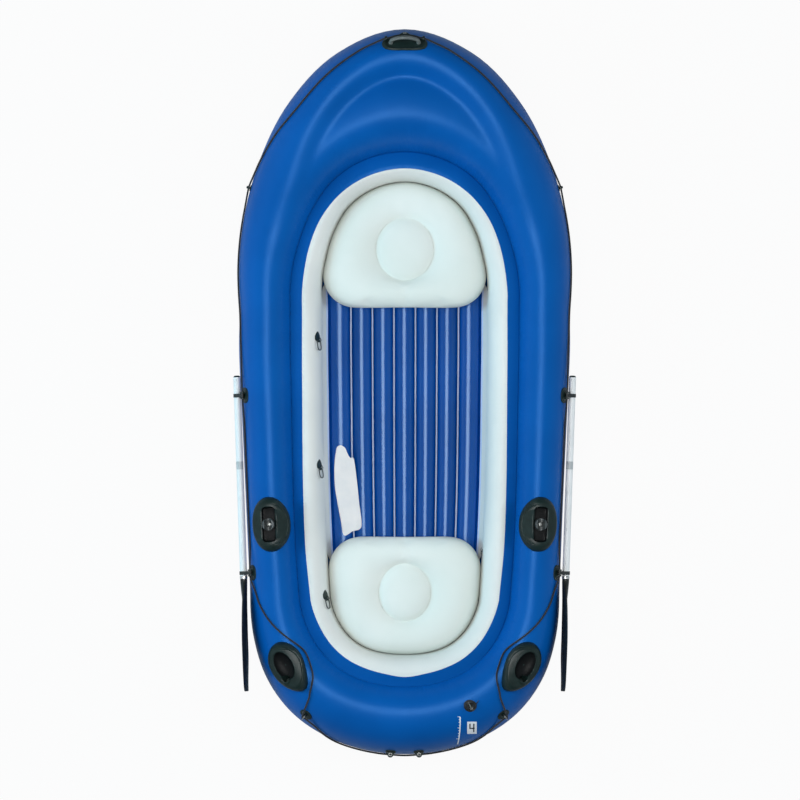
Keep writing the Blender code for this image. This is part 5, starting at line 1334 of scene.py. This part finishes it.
def oarlock(side):
    """A domed base with a beaded slot, a U-shaped fork that turns in it, and its steel pin."""
    patch = Patch(outer_skin, *OARLOCK_SHARES, side)
    outline = oval((0.068, 0.107), 120, 2.2)
    slot = oval((0.025, 0.066), 120, 9.0)
    # The dome from its edge to the flat top: shares of the outline and of the height. Ripples run round its flank.
    dome, flat = ((1.0, 0.02), (0.99, 0.15), (0.95, 0.45), (0.84, 0.81), (0.74, 0.97), (0.66, 1.0)), 0.66
    rows = [[patch.wrap(x, y, SUNK) for x, y in outline]]
    for mark in curve_through(dome, 7):
        ripple = 0.0007 * math.cos(mark.x * 2 * math.pi / 0.052) * smooth_step((1 - mark.x) / 0.06)
        ripple *= smooth_step((mark.x - flat) / 0.06)
        row = []
        for x, y in outline:
            inboard = smooth_step(-x / 0.04)
            row.append(patch.wrap(x * mark.x, y * mark.x, 0.030 * mark.y + ripple * (0.4 + inboard)))
        rows.append(row)
    # The bead round the slot, then the slot's wall and its floor.
    for share, rise in ((0.12, 0.0), (0.30, 0.0006), (0.46, 0.0024), (0.60, 0.0030), (0.74, 0.0022), (0.88, 0.0004),
                        (0.97, -0.0008)):
        row = []
        for (x, y), (sx, sy) in zip(outline, slot):
            u, v = mix(x * flat, sx * 1.03, share), mix(y * flat, sy * 1.02, share)
            inboard = 0.55 + 0.75 * smooth_step(-x / 0.05)
            row.append(patch.above(u, v, 0.0299 + rise * inboard))
        rows.append(row)
    # From the bead's last row inwards, the slot's wall and floor take the near-black rubber: painted shade inside the
    # slot.
    slot_shade_row = len(rows) - 1
    rows.append([patch.above(x, y, 0.0275) for x, y in slot])
    for share, height in ((0.995, 0.018), (0.985, 0.0085), (0.97, 0.0062), (0.94, 0.0052), (0.60, 0.0051),
                          (0.15, 0.0051)):
        rows.append([patch.rigid(x * share, y * share, height) for x, y in slot])
    base = sheeted(side_name("oarlock_moulding", side), rows, [RUBBER, SHADE_PAINTED_RUBBER],
                   look_of=lambda i, _j: 1 if i >= slot_shade_row else 0, sharp=48.0)
    settle(base, "hull", "black_rubber", side_name("oarlock_base", side))

    frame = patch.matrix()
    profile = [(0.004, 0.0054), (0.0232, 0.0054), (0.0235, 0.0100), (0.0235, 0.0460), (0.004, 0.0460)]
    profile = rounded_profile(profile, 0.0018)
    # The fork is drawn lighter than its black plastic, as painted highlight on the tops of its cheeks.
    fork = turned(side_name("oarlock_fork_body", side), profile, frame, [GREY_NYLON_AND_FORK_HIGHLIGHT], sides=72)
    # The oar's bed is a half-round groove, open at the top, with the pin's sink under it.
    radius, middle, above = 0.0143, 0.0343, 0.07
    bed = [(-radius, above), (-radius, middle)]
    for step in range(1, 16):
        angle = math.pi * step / 16
        bed.append((-radius * math.cos(angle), middle - radius * math.sin(angle)))
    bed += [(radius, middle), (radius, above)]
    rows = [[frame @ Vector((x, y, z)) for x, z in bed] for y in (-0.05, 0.05)]
    groove = sheeted("groove", rows, [PLASTIC])
    sink = turned("sink", [(0.0093, 0.0165), (0.0093, 0.05)], frame, [PLASTIC], sides=32)
    fork = carved(fork, groove, sink)
    soft = fork.modifiers.new("soft edges", "BEVEL")
    soft.width, soft.segments, soft.limit_method, soft.angle_limit = 0.0011, 3, "ANGLE", math.radians(35)
    settle(fork, side_name("fork", side), "black_plastic", side_name("oarlock_fork", side))
    profile = [(0.0047, 0.0018), (0.0047, 0.0167), (0.0084, 0.0167), (0.0090, 0.0172), (0.0088, 0.0184),
               (0.0070, 0.0195), (0.0034, 0.0198), (0.0030, 0.0186), (0.0004, 0.0186)]
    pin = turned(side_name("oarlock_pin_steel", side), profile, frame, [SATIN_STEEL], sides=36)
    settle(pin, "hull", "steel", side_name("oarlock_pin", side))


def rod_holder(side):
    """An egg-shaped dome, scooped for the hand, with a leaning hole for the rod's butt and a lip round it."""
    patch = Patch(outer_skin, *ROD_SHARES, side)
    half = (0.0625, 0.108)
    lean = (patch.rigid(0.10, -0.55, -0.83) - patch.centre).normalized()
    mouth = patch.rigid(0.019, -0.025, 0.042)
    # The dome's flank, from its flat top to its edge: shares of the outline and of the height.
    flank = ((0.70, 1.0), (0.84, 0.81), (0.95, 0.45), (1.0, 0.05))
    fine = curve_through(flank, 8)

    def widening(y):
        return 1 + 0.25 * y / half[1]

    def level_at(share):
        if share <= fine[0].x:
            return 1.0
        for a, b in zip(fine, fine[1:]):
            if share <= b.x:
                return mix(a.y, b.y, (share - a.x) / max(b.x - a.x, 1e-9))
        return fine[-1].y

    egg = []
    for angle in angles_round(144):
        y = half[1] * math.sin(angle)
        egg.append((half[0] * math.cos(angle) * widening(y), y))
    # Rows go from the middle of the scoop out to the egg's edge.
    rows, scooped = [], []
    for step in range(1, 61):
        toward = (step / 60) ** 0.85
        row, flags = [], []
        for egg_x, egg_y in egg:
            u, v = egg_x * toward, mix(0.015, egg_y, toward)
            share = math.hypot(u / widening(v) / half[0], v / half[1])
            # Low ridges run round the flank.
            ridge = 0.0008 * math.cos((share - 0.72) * 2 * math.pi / 0.075)
            ridge *= smooth_step((share - 0.68) / 0.06) * smooth_step((0.97 - share) / 0.05)
            point = patch.wrap(u, v, 0.040 * level_at(share) + ridge * (0.3 + smooth_step(-u / 0.03)))
            local = point - patch.centre
            x, y, z = local.dot(patch.outward), local.dot(patch.forward), local.dot(patch.normal)
            # The lip stands round the leaning hole.
            away = (point - mouth) - lean * (point - mouth).dot(lean)
            z += 0.0030 * math.exp(-(((away.length - 0.0182) / 0.0030) ** 2)) * smooth_step((0.93 - share) / 0.1)
            inside = math.hypot(x / 0.0375, (y - 0.015) / 0.0605)
            if inside < 1:
                scoop = 0.0448 - 0.032 * math.sqrt(1 - inside * inside)
                z = -soft_max(-z, -scoop, 0.005)
            row.append(patch.rigid(x, y, z))
            flags.append(inside < 0.93)
        rows.append(row)
        scooped.append(flags)
    rows.append([patch.wrap(x, y, SUNK) for x, y in egg])
    # Inside the scoop the dome takes the near-black rubber: painted shade in the hollow.
    dome = sheeted(side_name("rod_holder_moulding", side), rows, [RUBBER, SHADE_PAINTED_RUBBER],
                   look_of=lambda i, j: int(scooped[i][j]), sharp=55.0)
    across = lean.cross(patch.outward).normalized()
    bore_frame = axes_matrix(mouth, across.cross(lean), across, lean)
    profile = [(0.0145, -0.04), (0.0145, 0.0405), (0.0125, 0.0415), (0.001, 0.0415)]
    bore = turned("bore", profile, bore_frame, [RUBBER], sides=48)
    settle(carved(dome, bore), "hull", "black_rubber", side_name("rod_holder", side))


def main_valve():
    """The main valve: a dished flange, a plug, and a screw cap with a ribbed skirt and a cross bar, on a leash."""
    patch = Patch(outer_skin, *VALVE_SHARES, 1)
    frame = patch.matrix()
    flange = moulded_pad("main_valve_flange", patch, oval((0.0245, 0.0245), 64), 0.003, [PLASTIC], 0.0012, 0.0006)
    collar = washer("collar", frame, 0.0137, 0.0180, -0.004, 0.0029, [PLASTIC])
    marks = ((0.004, 0.0175, 0.0052), (0.005, 0.0205, 0.0050), (0.003, 0.0260, 0.0034), (0.000, 0.0330, 0.0022),
             (-0.004, 0.0400, 0.0018))
    leash = tube("leash", curve_through([patch.wrap(*mark) for mark in marks], 6), 0.0014, [PLASTIC], sides=12)
    settle(join("main_valve_flange", [flange, collar, leash]), "hull", "black_rubber", "main_valve_body")
    profile = rounded_profile([(0.001, -0.012), (0.0132, -0.012), (0.0132, 0.0055), (0.001, 0.0060)], 0.001)
    plug = turned("main_valve_stopper", profile, frame, [GREY_PLASTIC_AND_GRIP_HIGHLIGHT], sides=40)
    settle(plug, "hull", "valve_plastic", "main_valve_plug")
    skirt, skirt_top = 0.0170, 0.0118

    def ribs(angle, radius, height):
        on_skirt = radius > skirt - 0.0004 and height < skirt_top
        return -0.0006 * (0.5 + 0.5 * math.cos(24 * angle)) if on_skirt else 0.0

    profile = [(0.0146, 0.0036), (skirt - 0.0004, 0.0034), (skirt, 0.0040), (skirt, 0.0114), (0.0164, 0.0126),
               (0.0152, 0.0132), (0.0136, 0.0133), (0.0126, 0.0124), (0.0112, 0.0116), (0.0060, 0.0114),
               (0.0005, 0.0114)]
    cap = turned("valve_cap_shell", profile, frame, [GLOSS_PLASTIC], sides=144, wave=ribs, sharp=50.0)
    # The cross bar for the fingers, low and narrow at both ends.
    base = 0.0112
    section = ((-0.0022, base), (-0.0020, 0.0128), (-0.0012, 0.01345),
               (0.0012, 0.01345), (0.0020, 0.0128), (0.0022, base))
    rows = []
    for along in (-0.0118, -0.0112, -0.006, 0.0, 0.006, 0.0112, 0.0118):
        size = 0.35 if abs(along) > 0.0115 else 1.0
        rise = 0.6 + 0.4 * size
        rows.append([frame @ Vector((along, y * size, base + (z - base) * rise)) for y, z in section])
    bar = sheeted("bar", rows, [GREY_PLASTIC_AND_GRIP_HIGHLIGHT])
    settle(join("valve_cap_shell", [cap, bar]), "valve_cap", "valve_plastic", "main_valve_cap")


def wall_valve():
    """The inner chamber's valve in the wall: a flange, and a stopper with a tongue to pull it by."""
    patch = Patch(inner_skin, WALL_VALVE_RAY, 0.93, 1)
    body = moulded_pad("wall_valve_flange", patch, oval((0.014, 0.014), 40), 0.002, [PLASTIC], 0.0009)
    profile = rounded_profile([(0.0076, -0.002), (0.0076, 0.0050), (0.0066, 0.0060), (0.0004, 0.0062)], 0.0008)
    stopper = turned("stopper", profile, patch.matrix(), [GREY_PLASTIC_AND_GRIP_HIGHLIGHT], sides=32)
    marks = ((0.0, 0.0072, 0.0052), (0.001, 0.0120, 0.0066), (0.0, 0.0165, 0.0050), (0.0, 0.0190, 0.0036))
    pull = tube("pull", curve_through([patch.rigid(*mark) for mark in marks], 6), 0.0012, [GREY_PLASTIC_AND_GRIP_HIGHLIGHT], sides=10)
    settle(join("wall_valve_flange", [body, stopper, pull]), "hull", "clear_vinyl", "inner_chamber_valve")


def gear_loop(index, ray):
    """A welded webbing tab with a pointed top and a sleeve, the ring that hinges in it, and a short tongue."""
    patch = Patch(inner_skin, ray, GEAR_LOOP_TURN, -1)
    hinge = JOINTS[f"gear_ring_{index}_swing"]
    outline = []
    for x, y in oval((0.020, 0.017), 72, 3.0):
        outline.append((x, y) if y < 0 else (x * (1 - 0.62 * smooth_step(y / 0.019)), y * 1.18))
    tab = moulded_pad(f"gear_tab_{index}", patch, outline, 0.0022, [RUBBER], 0.0009, 0.0005)
    along = -Vector(hinge["axis"]).normalized()
    away = (patch.normal - along * patch.normal.dot(along)).normalized()
    frame = axes_matrix(Vector(hinge["pos_m"]), along, away.cross(along), away)
    across = frame @ Matrix.Rotation(math.pi / 2, 4, "Y")
    sleeve = washer("sleeve", across, 0.0030, 0.0050, -0.0085, 0.0085, [RUBBER], 0.0008)
    marks = ((-0.004, -0.008, 0.0030), (-0.014, -0.004, 0.0040), (-0.024, -0.007, 0.0022), (-0.036, -0.014, 0.0016))
    tongue = tube("tongue", curve_through([patch.wrap(*mark) for mark in marks], 6), 0.0016, [RUBBER], sides=10)
    rows = []
    for level, grow in ((-0.0060, 1.2), (-0.0040, 1.0), (-0.0012, 0.95)):
        foot = oval((0.0068, 0.0036), 28, 4.0)
        rows.append([frame @ Vector((x * grow, 0.0045 + y * grow, level)) for x, y in foot])
    root = sheeted("root", rows, [RUBBER])
    settle(join(f"gear_tab_{index}", [tab, sleeve, root, tongue]), "hull", "black_rubber", f"gear_loop_tab_{index}")
    # The ring's outline, as shares of its half width and its length, hangs 8 degrees off the tab at rest.
    resting = frame @ Matrix.Rotation(-math.radians(8), 4, "X")
    marks = [(-0.80, 0.00), (0.00, 0.00), (0.80, 0.00), (1.00, -0.08), (1.00, -0.55), (0.88, -0.80),
             (0.55, -0.96), (0.00, -1.00), (-0.55, -0.96), (-0.88, -0.80), (-1.00, -0.55), (-1.00, -0.08)]
    points = [resting @ Vector((x * 0.0158, y * 0.035, 0)) for x, y in marks]
    points = curve_through(points, 6, closed=True)
    ring = tube(f"gear_ring_{index}", points, 0.0023, [GREY_NYLON_AND_FORK_HIGHLIGHT], closed=True)
    settle(ring, f"gear_ring_{index}", "steel", f"gear_loop_ring_{index}")


def oar(side):
    """A stowed oar: a domed cap, two pipes joined by a grooved sleeve, a ferrule, and a ribbed blade on edge."""
    frame = oar_frame(side)
    aft = frame @ Matrix.Rotation(math.pi / 2, 4, "X")
    body = side_name("oar", side)
    joint, neck, radius = OAR_JOINT, OAR_LENGTH - BLADE_LENGTH, OAR_RADIUS
    # The cap's plug and the ring at the pipe look like the pipe, and its dome is rubber.
    profile = [(0.0112, 0.030), (0.0112, 0.0221), (radius - 0.0003, 0.0220), (radius, 0.0214), (radius, 0.0150),
               (radius - 0.0006, 0.0144), (radius - 0.0006, 0.0134), (radius, 0.0128), (radius, 0.0066),
               (radius - 0.0012, 0.0036), (radius * 0.72, 0.0012), (radius * 0.42, 0.0002), (0.0004, 0.0)]
    ring_rows = 8
    cap = turned(side_name("oar_end_cap", side), profile, aft, [RUBBER, TUBE_COAT], sides=48,
                 look_of=lambda i, _j: 1 if i < ring_rows else 0)
    settle(cap, body, "black_plastic", side_name("oar_cap", side))
    for piece, start, end in (("upper", 0.0223, joint - 0.0153), ("lower", joint + 0.0153, neck)):
        profile = [(0.0123, start), (radius - 0.0003, start), (radius, start + 0.0004)]
        profile += [(radius, mix(start, end, k / 12)) for k in range(1, 12)]
        profile += [(radius, end - 0.0004), (radius - 0.0003, end), (0.0123, end)]
        pipe = turned(side_name(f"oar_pipe_{piece}", side), profile, aft, [TUBE_COAT], sides=56, ring=True)
        settle(pipe, body, "shaft_aluminium", side_name(f"oar_{piece}_shaft", side))
    # The sleeve stands 0.4 mm proud of the pipes, with five grooves.
    high = radius + 0.0004
    profile = [(0.0115, joint - 0.030), (0.0115, joint - 0.0152), (radius, joint - 0.0150), (high, joint - 0.0144)]
    for k in range(5):
        at, low = joint - 0.0110 + 0.0055 * k, high - 0.0007
        profile += [(high, at - 0.0010), (low, at - 0.0005), (low, at + 0.0005), (high, at + 0.0010)]
    profile += [(high, joint + 0.0144), (radius, joint + 0.0150), (0.0115, joint + 0.0152), (0.0115, joint + 0.030)]
    sleeve = turned(side_name("oar_joint_sleeve", side), profile, aft, [PALE_PLASTIC], sides=48)
    settle(sleeve, body, "black_plastic", side_name("oar_sleeve", side))
    settle(oar_blade(side, frame, neck), body, "black_plastic", side_name("oar_blade", side))


def oar_blade(side, frame, neck):
    """The blade: a spooned plate with a thick rim, a spine that runs out of the neck, and two side ribs."""
    # Shares of the blade's length and width, and how much its section is still the neck's round one.
    marks = ((0.00, 0.17, 1.00), (0.05, 0.19, 1.00), (0.12, 0.42, 0.80), (0.22, 0.78, 0.45), (0.35, 0.95, 0.20),
             (0.55, 1.00, 0.00), (0.78, 0.99, 0.00), (0.93, 0.93, 0.00), (0.985, 0.82, 0.00), (1.00, 0.70, 0.00))
    rows = []
    for along, width, neck_share in curve_through(marks, 6):
        neck_share = max(0.0, min(1.0, neck_share))
        flat_share = 1 - neck_share
        half = 0.079 * width
        spoon = 0.017 * width * flat_share
        thickness, power = mix(0.00225, OAR_RADIUS, neck_share), mix(0.5, 1.0, neck_share)
        row = []
        for angle in angles_round(64):
            across, face = math.sin(angle), math.cos(angle)
            spine = 0.0042 * math.exp(-((across / 0.13) ** 2)) * flat_share * smooth_step((0.96 - along) / 0.3)
            ribs = 0.0012 * math.exp(-(((abs(across) - 0.52) / 0.06) ** 2)) * flat_share
            ribs *= smooth_step((0.93 - along) / 0.1)
            rim = 0.0006 * math.exp(-(((abs(across) - 0.93) / 0.05) ** 2)) * flat_share
            raised = math.copysign(spine + ribs + rim, face) * min(1.0, abs(face) * 4)
            out = thickness * math.copysign(abs(face) ** power, face) + raised + spoon * (across ** 2 - 0.15)
            row.append(frame @ Vector((side * out, -neck - GAP - BLADE_LENGTH * min(along, 1.0), half * across)))
        rows.append(row)
    blade = sheeted(side_name("oar_blade_plate", side), rows, [PLASTIC], sharp=55.0)
    aft = frame @ Matrix.Rotation(math.pi / 2, 4, "X")
    bore, low, high = 0.0118, OAR_RADIUS + 0.0004, OAR_RADIUS + 0.0010
    profile = [(bore, -0.004), (bore, 0.0005), (low, 0.0006), (high, 0.0014), (high, 0.0105), (low, 0.0115),
               (OAR_RADIUS - 0.001, 0.0118), (bore, 0.0118)]
    profile = [(size, neck + along) for size, along in profile]
    ferrule = turned("ferrule", profile, aft, [TUBE_METAL], sides=48)
    return join(side_name("oar_blade_plate", side), [blade, ferrule])


def folded_sheet():
    """A thin coated sheet, folded over once, that lies on the floor by the left wall."""
    y = STERN_SEAT[0] + POUCH_AHEAD
    place = Vector((POUCH_OFF_WALL - half_width_at(WALL_SHARES, y, 0.0), y, SEAT_BOTTOM))
    dense = curve_through(CLOTH_OUTLINE, 8, closed=True)
    # Each layer goes from the middle of its upper face to its edge, and back underneath.
    upper, under = (0.03, 0.25, 0.5, 0.7, 0.85, 0.94, 0.985, 1.0), (0.985, 0.9, 0.5, 0.03)
    pieces = []
    for layer, (lift, shrink, shift) in enumerate(((0.0002, 1.0, (0.0, 0.0)), (0.0018, 0.965, (0.001, 0.004)))):
        rows = []
        for index, share in enumerate(upper + under):
            thick = (0.0007 if index < len(upper) else 0.0) * (1 if share < 1 else 0.5)
            row = []
            for point in dense:
                x, y = point.x * share * shrink + shift[0], point.y * share * shrink + shift[1]
                wave = 0.0013 * noise.noise(Vector((x * 22, y * 16, layer * 3.7))) + 0.0016
                fold = 0.0016 * math.exp(-(((x * 0.62 + (y + 0.118) * 0.78) / 0.004) ** 2)) if layer else 0.0
                row.append(place + Vector((x, y, lift + wave * layer + fold + thick)))
            rows.append(row)
        pieces.append(sheeted("layer", rows, [CLOTH], sharp=60.0))
    cloth = join("folded_cloth", pieces)
    settle(cloth, "pouch", "white_pocket", "gear_pouch")


def through(patch, height, half_length):
    """Two points of a straight piece of the grab line, before and behind an eye."""
    return [patch.rigid(0, half_length, height), patch.rigid(0, -half_length, height)]


def on_skin(route, count, side):
    """Points of the grab line along a smooth route that lies on the outer chamber."""
    knots = [Vector(place) for place in route]
    points = []
    for step in range(count):
        place = (len(route) - 1) * step / (count - 1)
        low = min(int(place), len(knots) - 2)
        spot = between(*(knots[min(max(i, 0), len(knots) - 1)] for i in range(low - 1, low + 3)), place - low)
        points.append(Patch(outer_skin, spot.x, spot.y, side).rigid(0, 0, ROPE_RADIUS + ROPE_LIFT))
    return points


def grab_line():
    """The braided grab line, whole, through every eye and keeper and round the stern."""
    handle = Patch(outer_skin, *HANDLE_SHARES, 1)
    on_pad = PAD_HEIGHT + LINE_ON_PAD
    halves = []
    for side in (1, -1):
        half = through(handle_eye(side), on_pad, LOOP_WIDTH)
        half += on_skin(NOSE_ROUTE, 14, side)
        half += through(Patch(outer_skin, BOW_LOOP_RAY, BOW_LOOP_TURN, side), EYE_HEIGHT, LOOP_WIDTH)
        half += on_skin(SHOULDER_ROUTE, 10, side)
        half += through(along_oar(side, 0), KEEPER_LINE, CHEEK_GAP)
        half += on_skin(SIDE_ROUTE, 5, side)
        half += through(along_oar(side, 1), KEEPER_LINE, CHEEK_GAP)
        half += on_skin(QUARTER_ROUTE, 16, side)
        half += through(Patch(outer_skin, *QUARTER_SHARES, side), LUG_SIZE / 2 + RING_RADIUS, LUG_WIDTH)
        half += on_skin(STERN_ROUTE, 9, side)
        halves.append(half)
    stern = Patch(outer_skin, LAST_RAY, STERN_TURN, 1).rigid(0, 0, ROPE_RADIUS + ROPE_STAND_OFF)
    points = [handle.wrap(HANDLE_OVER, 0, on_pad)] + halves[0] + [stern] + halves[1][::-1]
    line = tube("grab_line_braid", curve_through(points, 5, closed=True), ROPE_RADIUS, [CORD], closed=True, sides=14)
    settle(line, "hull", "black_rope", "grab_line")


def on_top(x, y, height):
    """A point over the outer chamber's skin at a plan place on the right, out from the skin by a height."""
    ray, distance = ray_of(x, y)
    band = Band(ray)
    patch = Patch(outer_skin, ray, math.acos(1 - (band.edge - distance) / band.width) / (math.pi / 2), 1)
    return patch.centre + patch.normal * (height + hull_swell(patch.centre))


def printed_marks():
    """A short printed depth scale and a plain number plate on the stern, as thin film on the skin."""

    def film(name, outline, look, height=0.0007):
        rows = [[on_top(x, y, level) for x, y in outline] for level in (-0.0008, height)]
        return sheeted(name, rows, [look])

    def strip(start, end, width):
        way = Vector((end[0] - start[0], end[1] - start[1])).normalized() * width / 2
        return [(start[0] - way.y, start[1] + way.x), (end[0] - way.y, end[1] + way.x),
                (end[0] + way.y, end[1] - way.x), (start[0] + way.y, start[1] - way.x)]

    pieces, wide, thin = [], 0.0044, 0.0017
    # The scale's line bends a little inwards on its way aft.
    line = [(0.2150 - 0.0095 * (step / 10) ** 3, -1.2610 - 0.1080 * (step / 10)) for step in range(11)]
    for a, b in zip(line, line[1:]):
        pieces.append(film("scale", strip(a, b, wide), INK))
    for step, (x, y) in enumerate(line[:-2]):
        length = 0.0095 if step % 4 == 0 else 0.0055
        pieces.append(film("tick", strip((x, y), (x - length, y), thin), INK))
    # The plate is laid in four by six pieces, so that it follows the skin.
    left, right, low, high = 0.2425, 0.2795, -1.3275, -1.2800
    for i in range(6):
        top, base = mix(high, low, i / 6), mix(high, low, (i + 1) / 6)
        for j in range(4):
            west, east = mix(left, right, j / 4), mix(left, right, (j + 1) / 4)
            pieces.append(film("plate", [(west, top), (east, top), (east, base), (west, base)], INK))
    x, y = (left + right) / 2, (low + high) / 2
    strokes = (((x - 0.008, y + 0.016), (x - 0.008, y - 0.002)), ((x - 0.010, y - 0.002), (x + 0.010, y - 0.002)),
               ((x + 0.007, y + 0.016), (x + 0.007, y - 0.016)))
    for a, b in strokes:
        for step in range(3):
            start, end = (tuple(mix(p, q, share) for p, q in zip(a, b)) for share in (step / 3, (step + 1) / 3))
            pieces.append(film("digit", strip(start, end, wide), DARK_INK, 0.0013))
    settle(join("printed_marks", pieces), "hull", "white_pocket")


# ---------------------------------------------------------------- camera, light and floor

def stage_set():
    """Camera, light and floor."""
    scene = bpy.context.scene
    scene.view_settings.view_transform = "Standard"
    camera = bpy.data.objects.new("camera", bpy.data.cameras.new("camera"))
    scene.collection.objects.link(camera)
    scene.camera = camera
    # The photograph looks straight down; 3.893 mm of boat cover one of its 800 pixels.
    height, seen, sensor = 60.0, 0.003893 * 800, 36.0
    camera.location = (-0.0183, -0.0311, height)
    camera.data.sensor_width = sensor
    camera.data.lens = sensor * (height - SIDE_EQUATOR) / seen
    camera.data.clip_end = 100.0

    def lamp(name, place, size, power, colour, mirrored=True):
        light = bpy.data.lights.new(name, "AREA")
        light.shape = "RECTANGLE"
        light.size, light.size_y = size
        light.energy = power
        light.color = linear(colour)[:3]
        thing = bpy.data.objects.new(name, light)
        scene.collection.objects.link(thing)
        thing.location = place
        thing.rotation_euler = (-Vector(place)).to_track_quat("-Z", "Y").to_euler()
        thing.visible_camera = False
        thing.visible_glossy = mirrored

    lamp("soft_key", (-0.35, -0.15, 5.2), (2.2, 2.2), 118.0, "FFFFFF")
    lamp("left_fill", (-8.0, 0.5, 4.0), (2.0, 5.0), 400.0, "A8E6FF", False)
    lamp("right_fill", (8.0, 0.0, 5.0), (2.0, 5.0), 240.0, "DCF1FF", False)

    world = bpy.data.worlds.new("studio")
    scene.world = world
    world.use_nodes = True
    tree = world.node_tree
    # White panels at both sides, the left one brighter and cooler; dim ahead, behind and overhead.
    ways = add(tree, "ShaderNodeTexCoord").outputs["Generated"]
    parts = add(tree, "ShaderNodeSeparateXYZ", {"Vector": ways})

    def ramp(value, *ends):
        inputs = dict(zip(("From Min", "From Max", "To Min", "To Max"), ends), Value=value)
        return add(tree, "ShaderNodeMapRange", inputs).outputs["Result"]

    def math_node(operation, *values):
        return add(tree, "ShaderNodeMath", dict(enumerate(values)), operation=operation).outputs["Value"]

    across, along = parts.outputs["X"], parts.outputs["Y"]
    panels = math_node("ADD", ramp(across, -0.1, -0.9, 0.0, 0.34), ramp(across, 0.1, 0.9, 0.0, 0.22))
    dim = ramp(math_node("ABSOLUTE", along), 0.1, 0.8, 0.26, 0.10)
    background = tree.nodes["Background"]
    background.inputs["Color"].default_value = linear("F4FBFF")
    tree.links.new(math_node("ADD", panels, dim), background.inputs["Strength"])

    bm = bmesh.new()
    bmesh.ops.create_circle(bm, cap_ends=True, segments=64, radius=60.0)
    floor = finish_mesh("studio_floor", bm, [])
    floor.location.z = -0.001
    # The floor is grey to the boat, and nearly all white to the camera.
    made, tree, shader = start_material("studio_floor", Roughness=0.9, Specular_IOR_Level=0.1,
                                        Base_Color=linear("B4B6B8"))
    rays = add(tree, "ShaderNodeLightPath").outputs
    share = math_node("MULTIPLY", math_node("MAXIMUM", rays["Is Camera Ray"], rays["Is Transmission Ray"]), 0.95)
    white = add(tree, "ShaderNodeEmission", {"Color": (1.0, 1.0, 1.0, 1.0), "Strength": 1.0})
    blend = add(tree, "ShaderNodeMixShader", {0: share, 1: shader.outputs["BSDF"], 2: white.outputs["Emission"]})
    tree.links.new(blend.outputs["Shader"], tree.nodes["Material Output"].inputs["Surface"])
    floor.data.materials.append(made)


def dress(look, *names):
    """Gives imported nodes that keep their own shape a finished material."""
    for name in names:
        NODES[name].data.materials.clear()
        NODES[name].data.materials.append(look)


stage_set()
hull_outer_skin()
hull_inner_skin()
hull_bottom()
floor_tubes()
seat_cushion("bow_seat", *BOW_SEAT, BOW_DISC)
seat_cushion("stern_seat", *STERN_SEAT, STERN_DISC)
bow_handle()
for side in (-1, 1):
    bow_loop(side)
    quarter_loop(side)
    stern_tab(side)
    for index in (0, 1):
        keeper(side, index)
    oarlock(side)
    rod_holder(side)
    oar(side)
main_valve()
wall_valve()
for index, ray in enumerate(GEAR_LOOP_RAYS):
    gear_loop(index + 1, ray)
grab_line()
folded_sheet()
printed_marks()
dress(PLASTIC, "floor_valve", "bow_seat_valve", "stern_seat_valve")
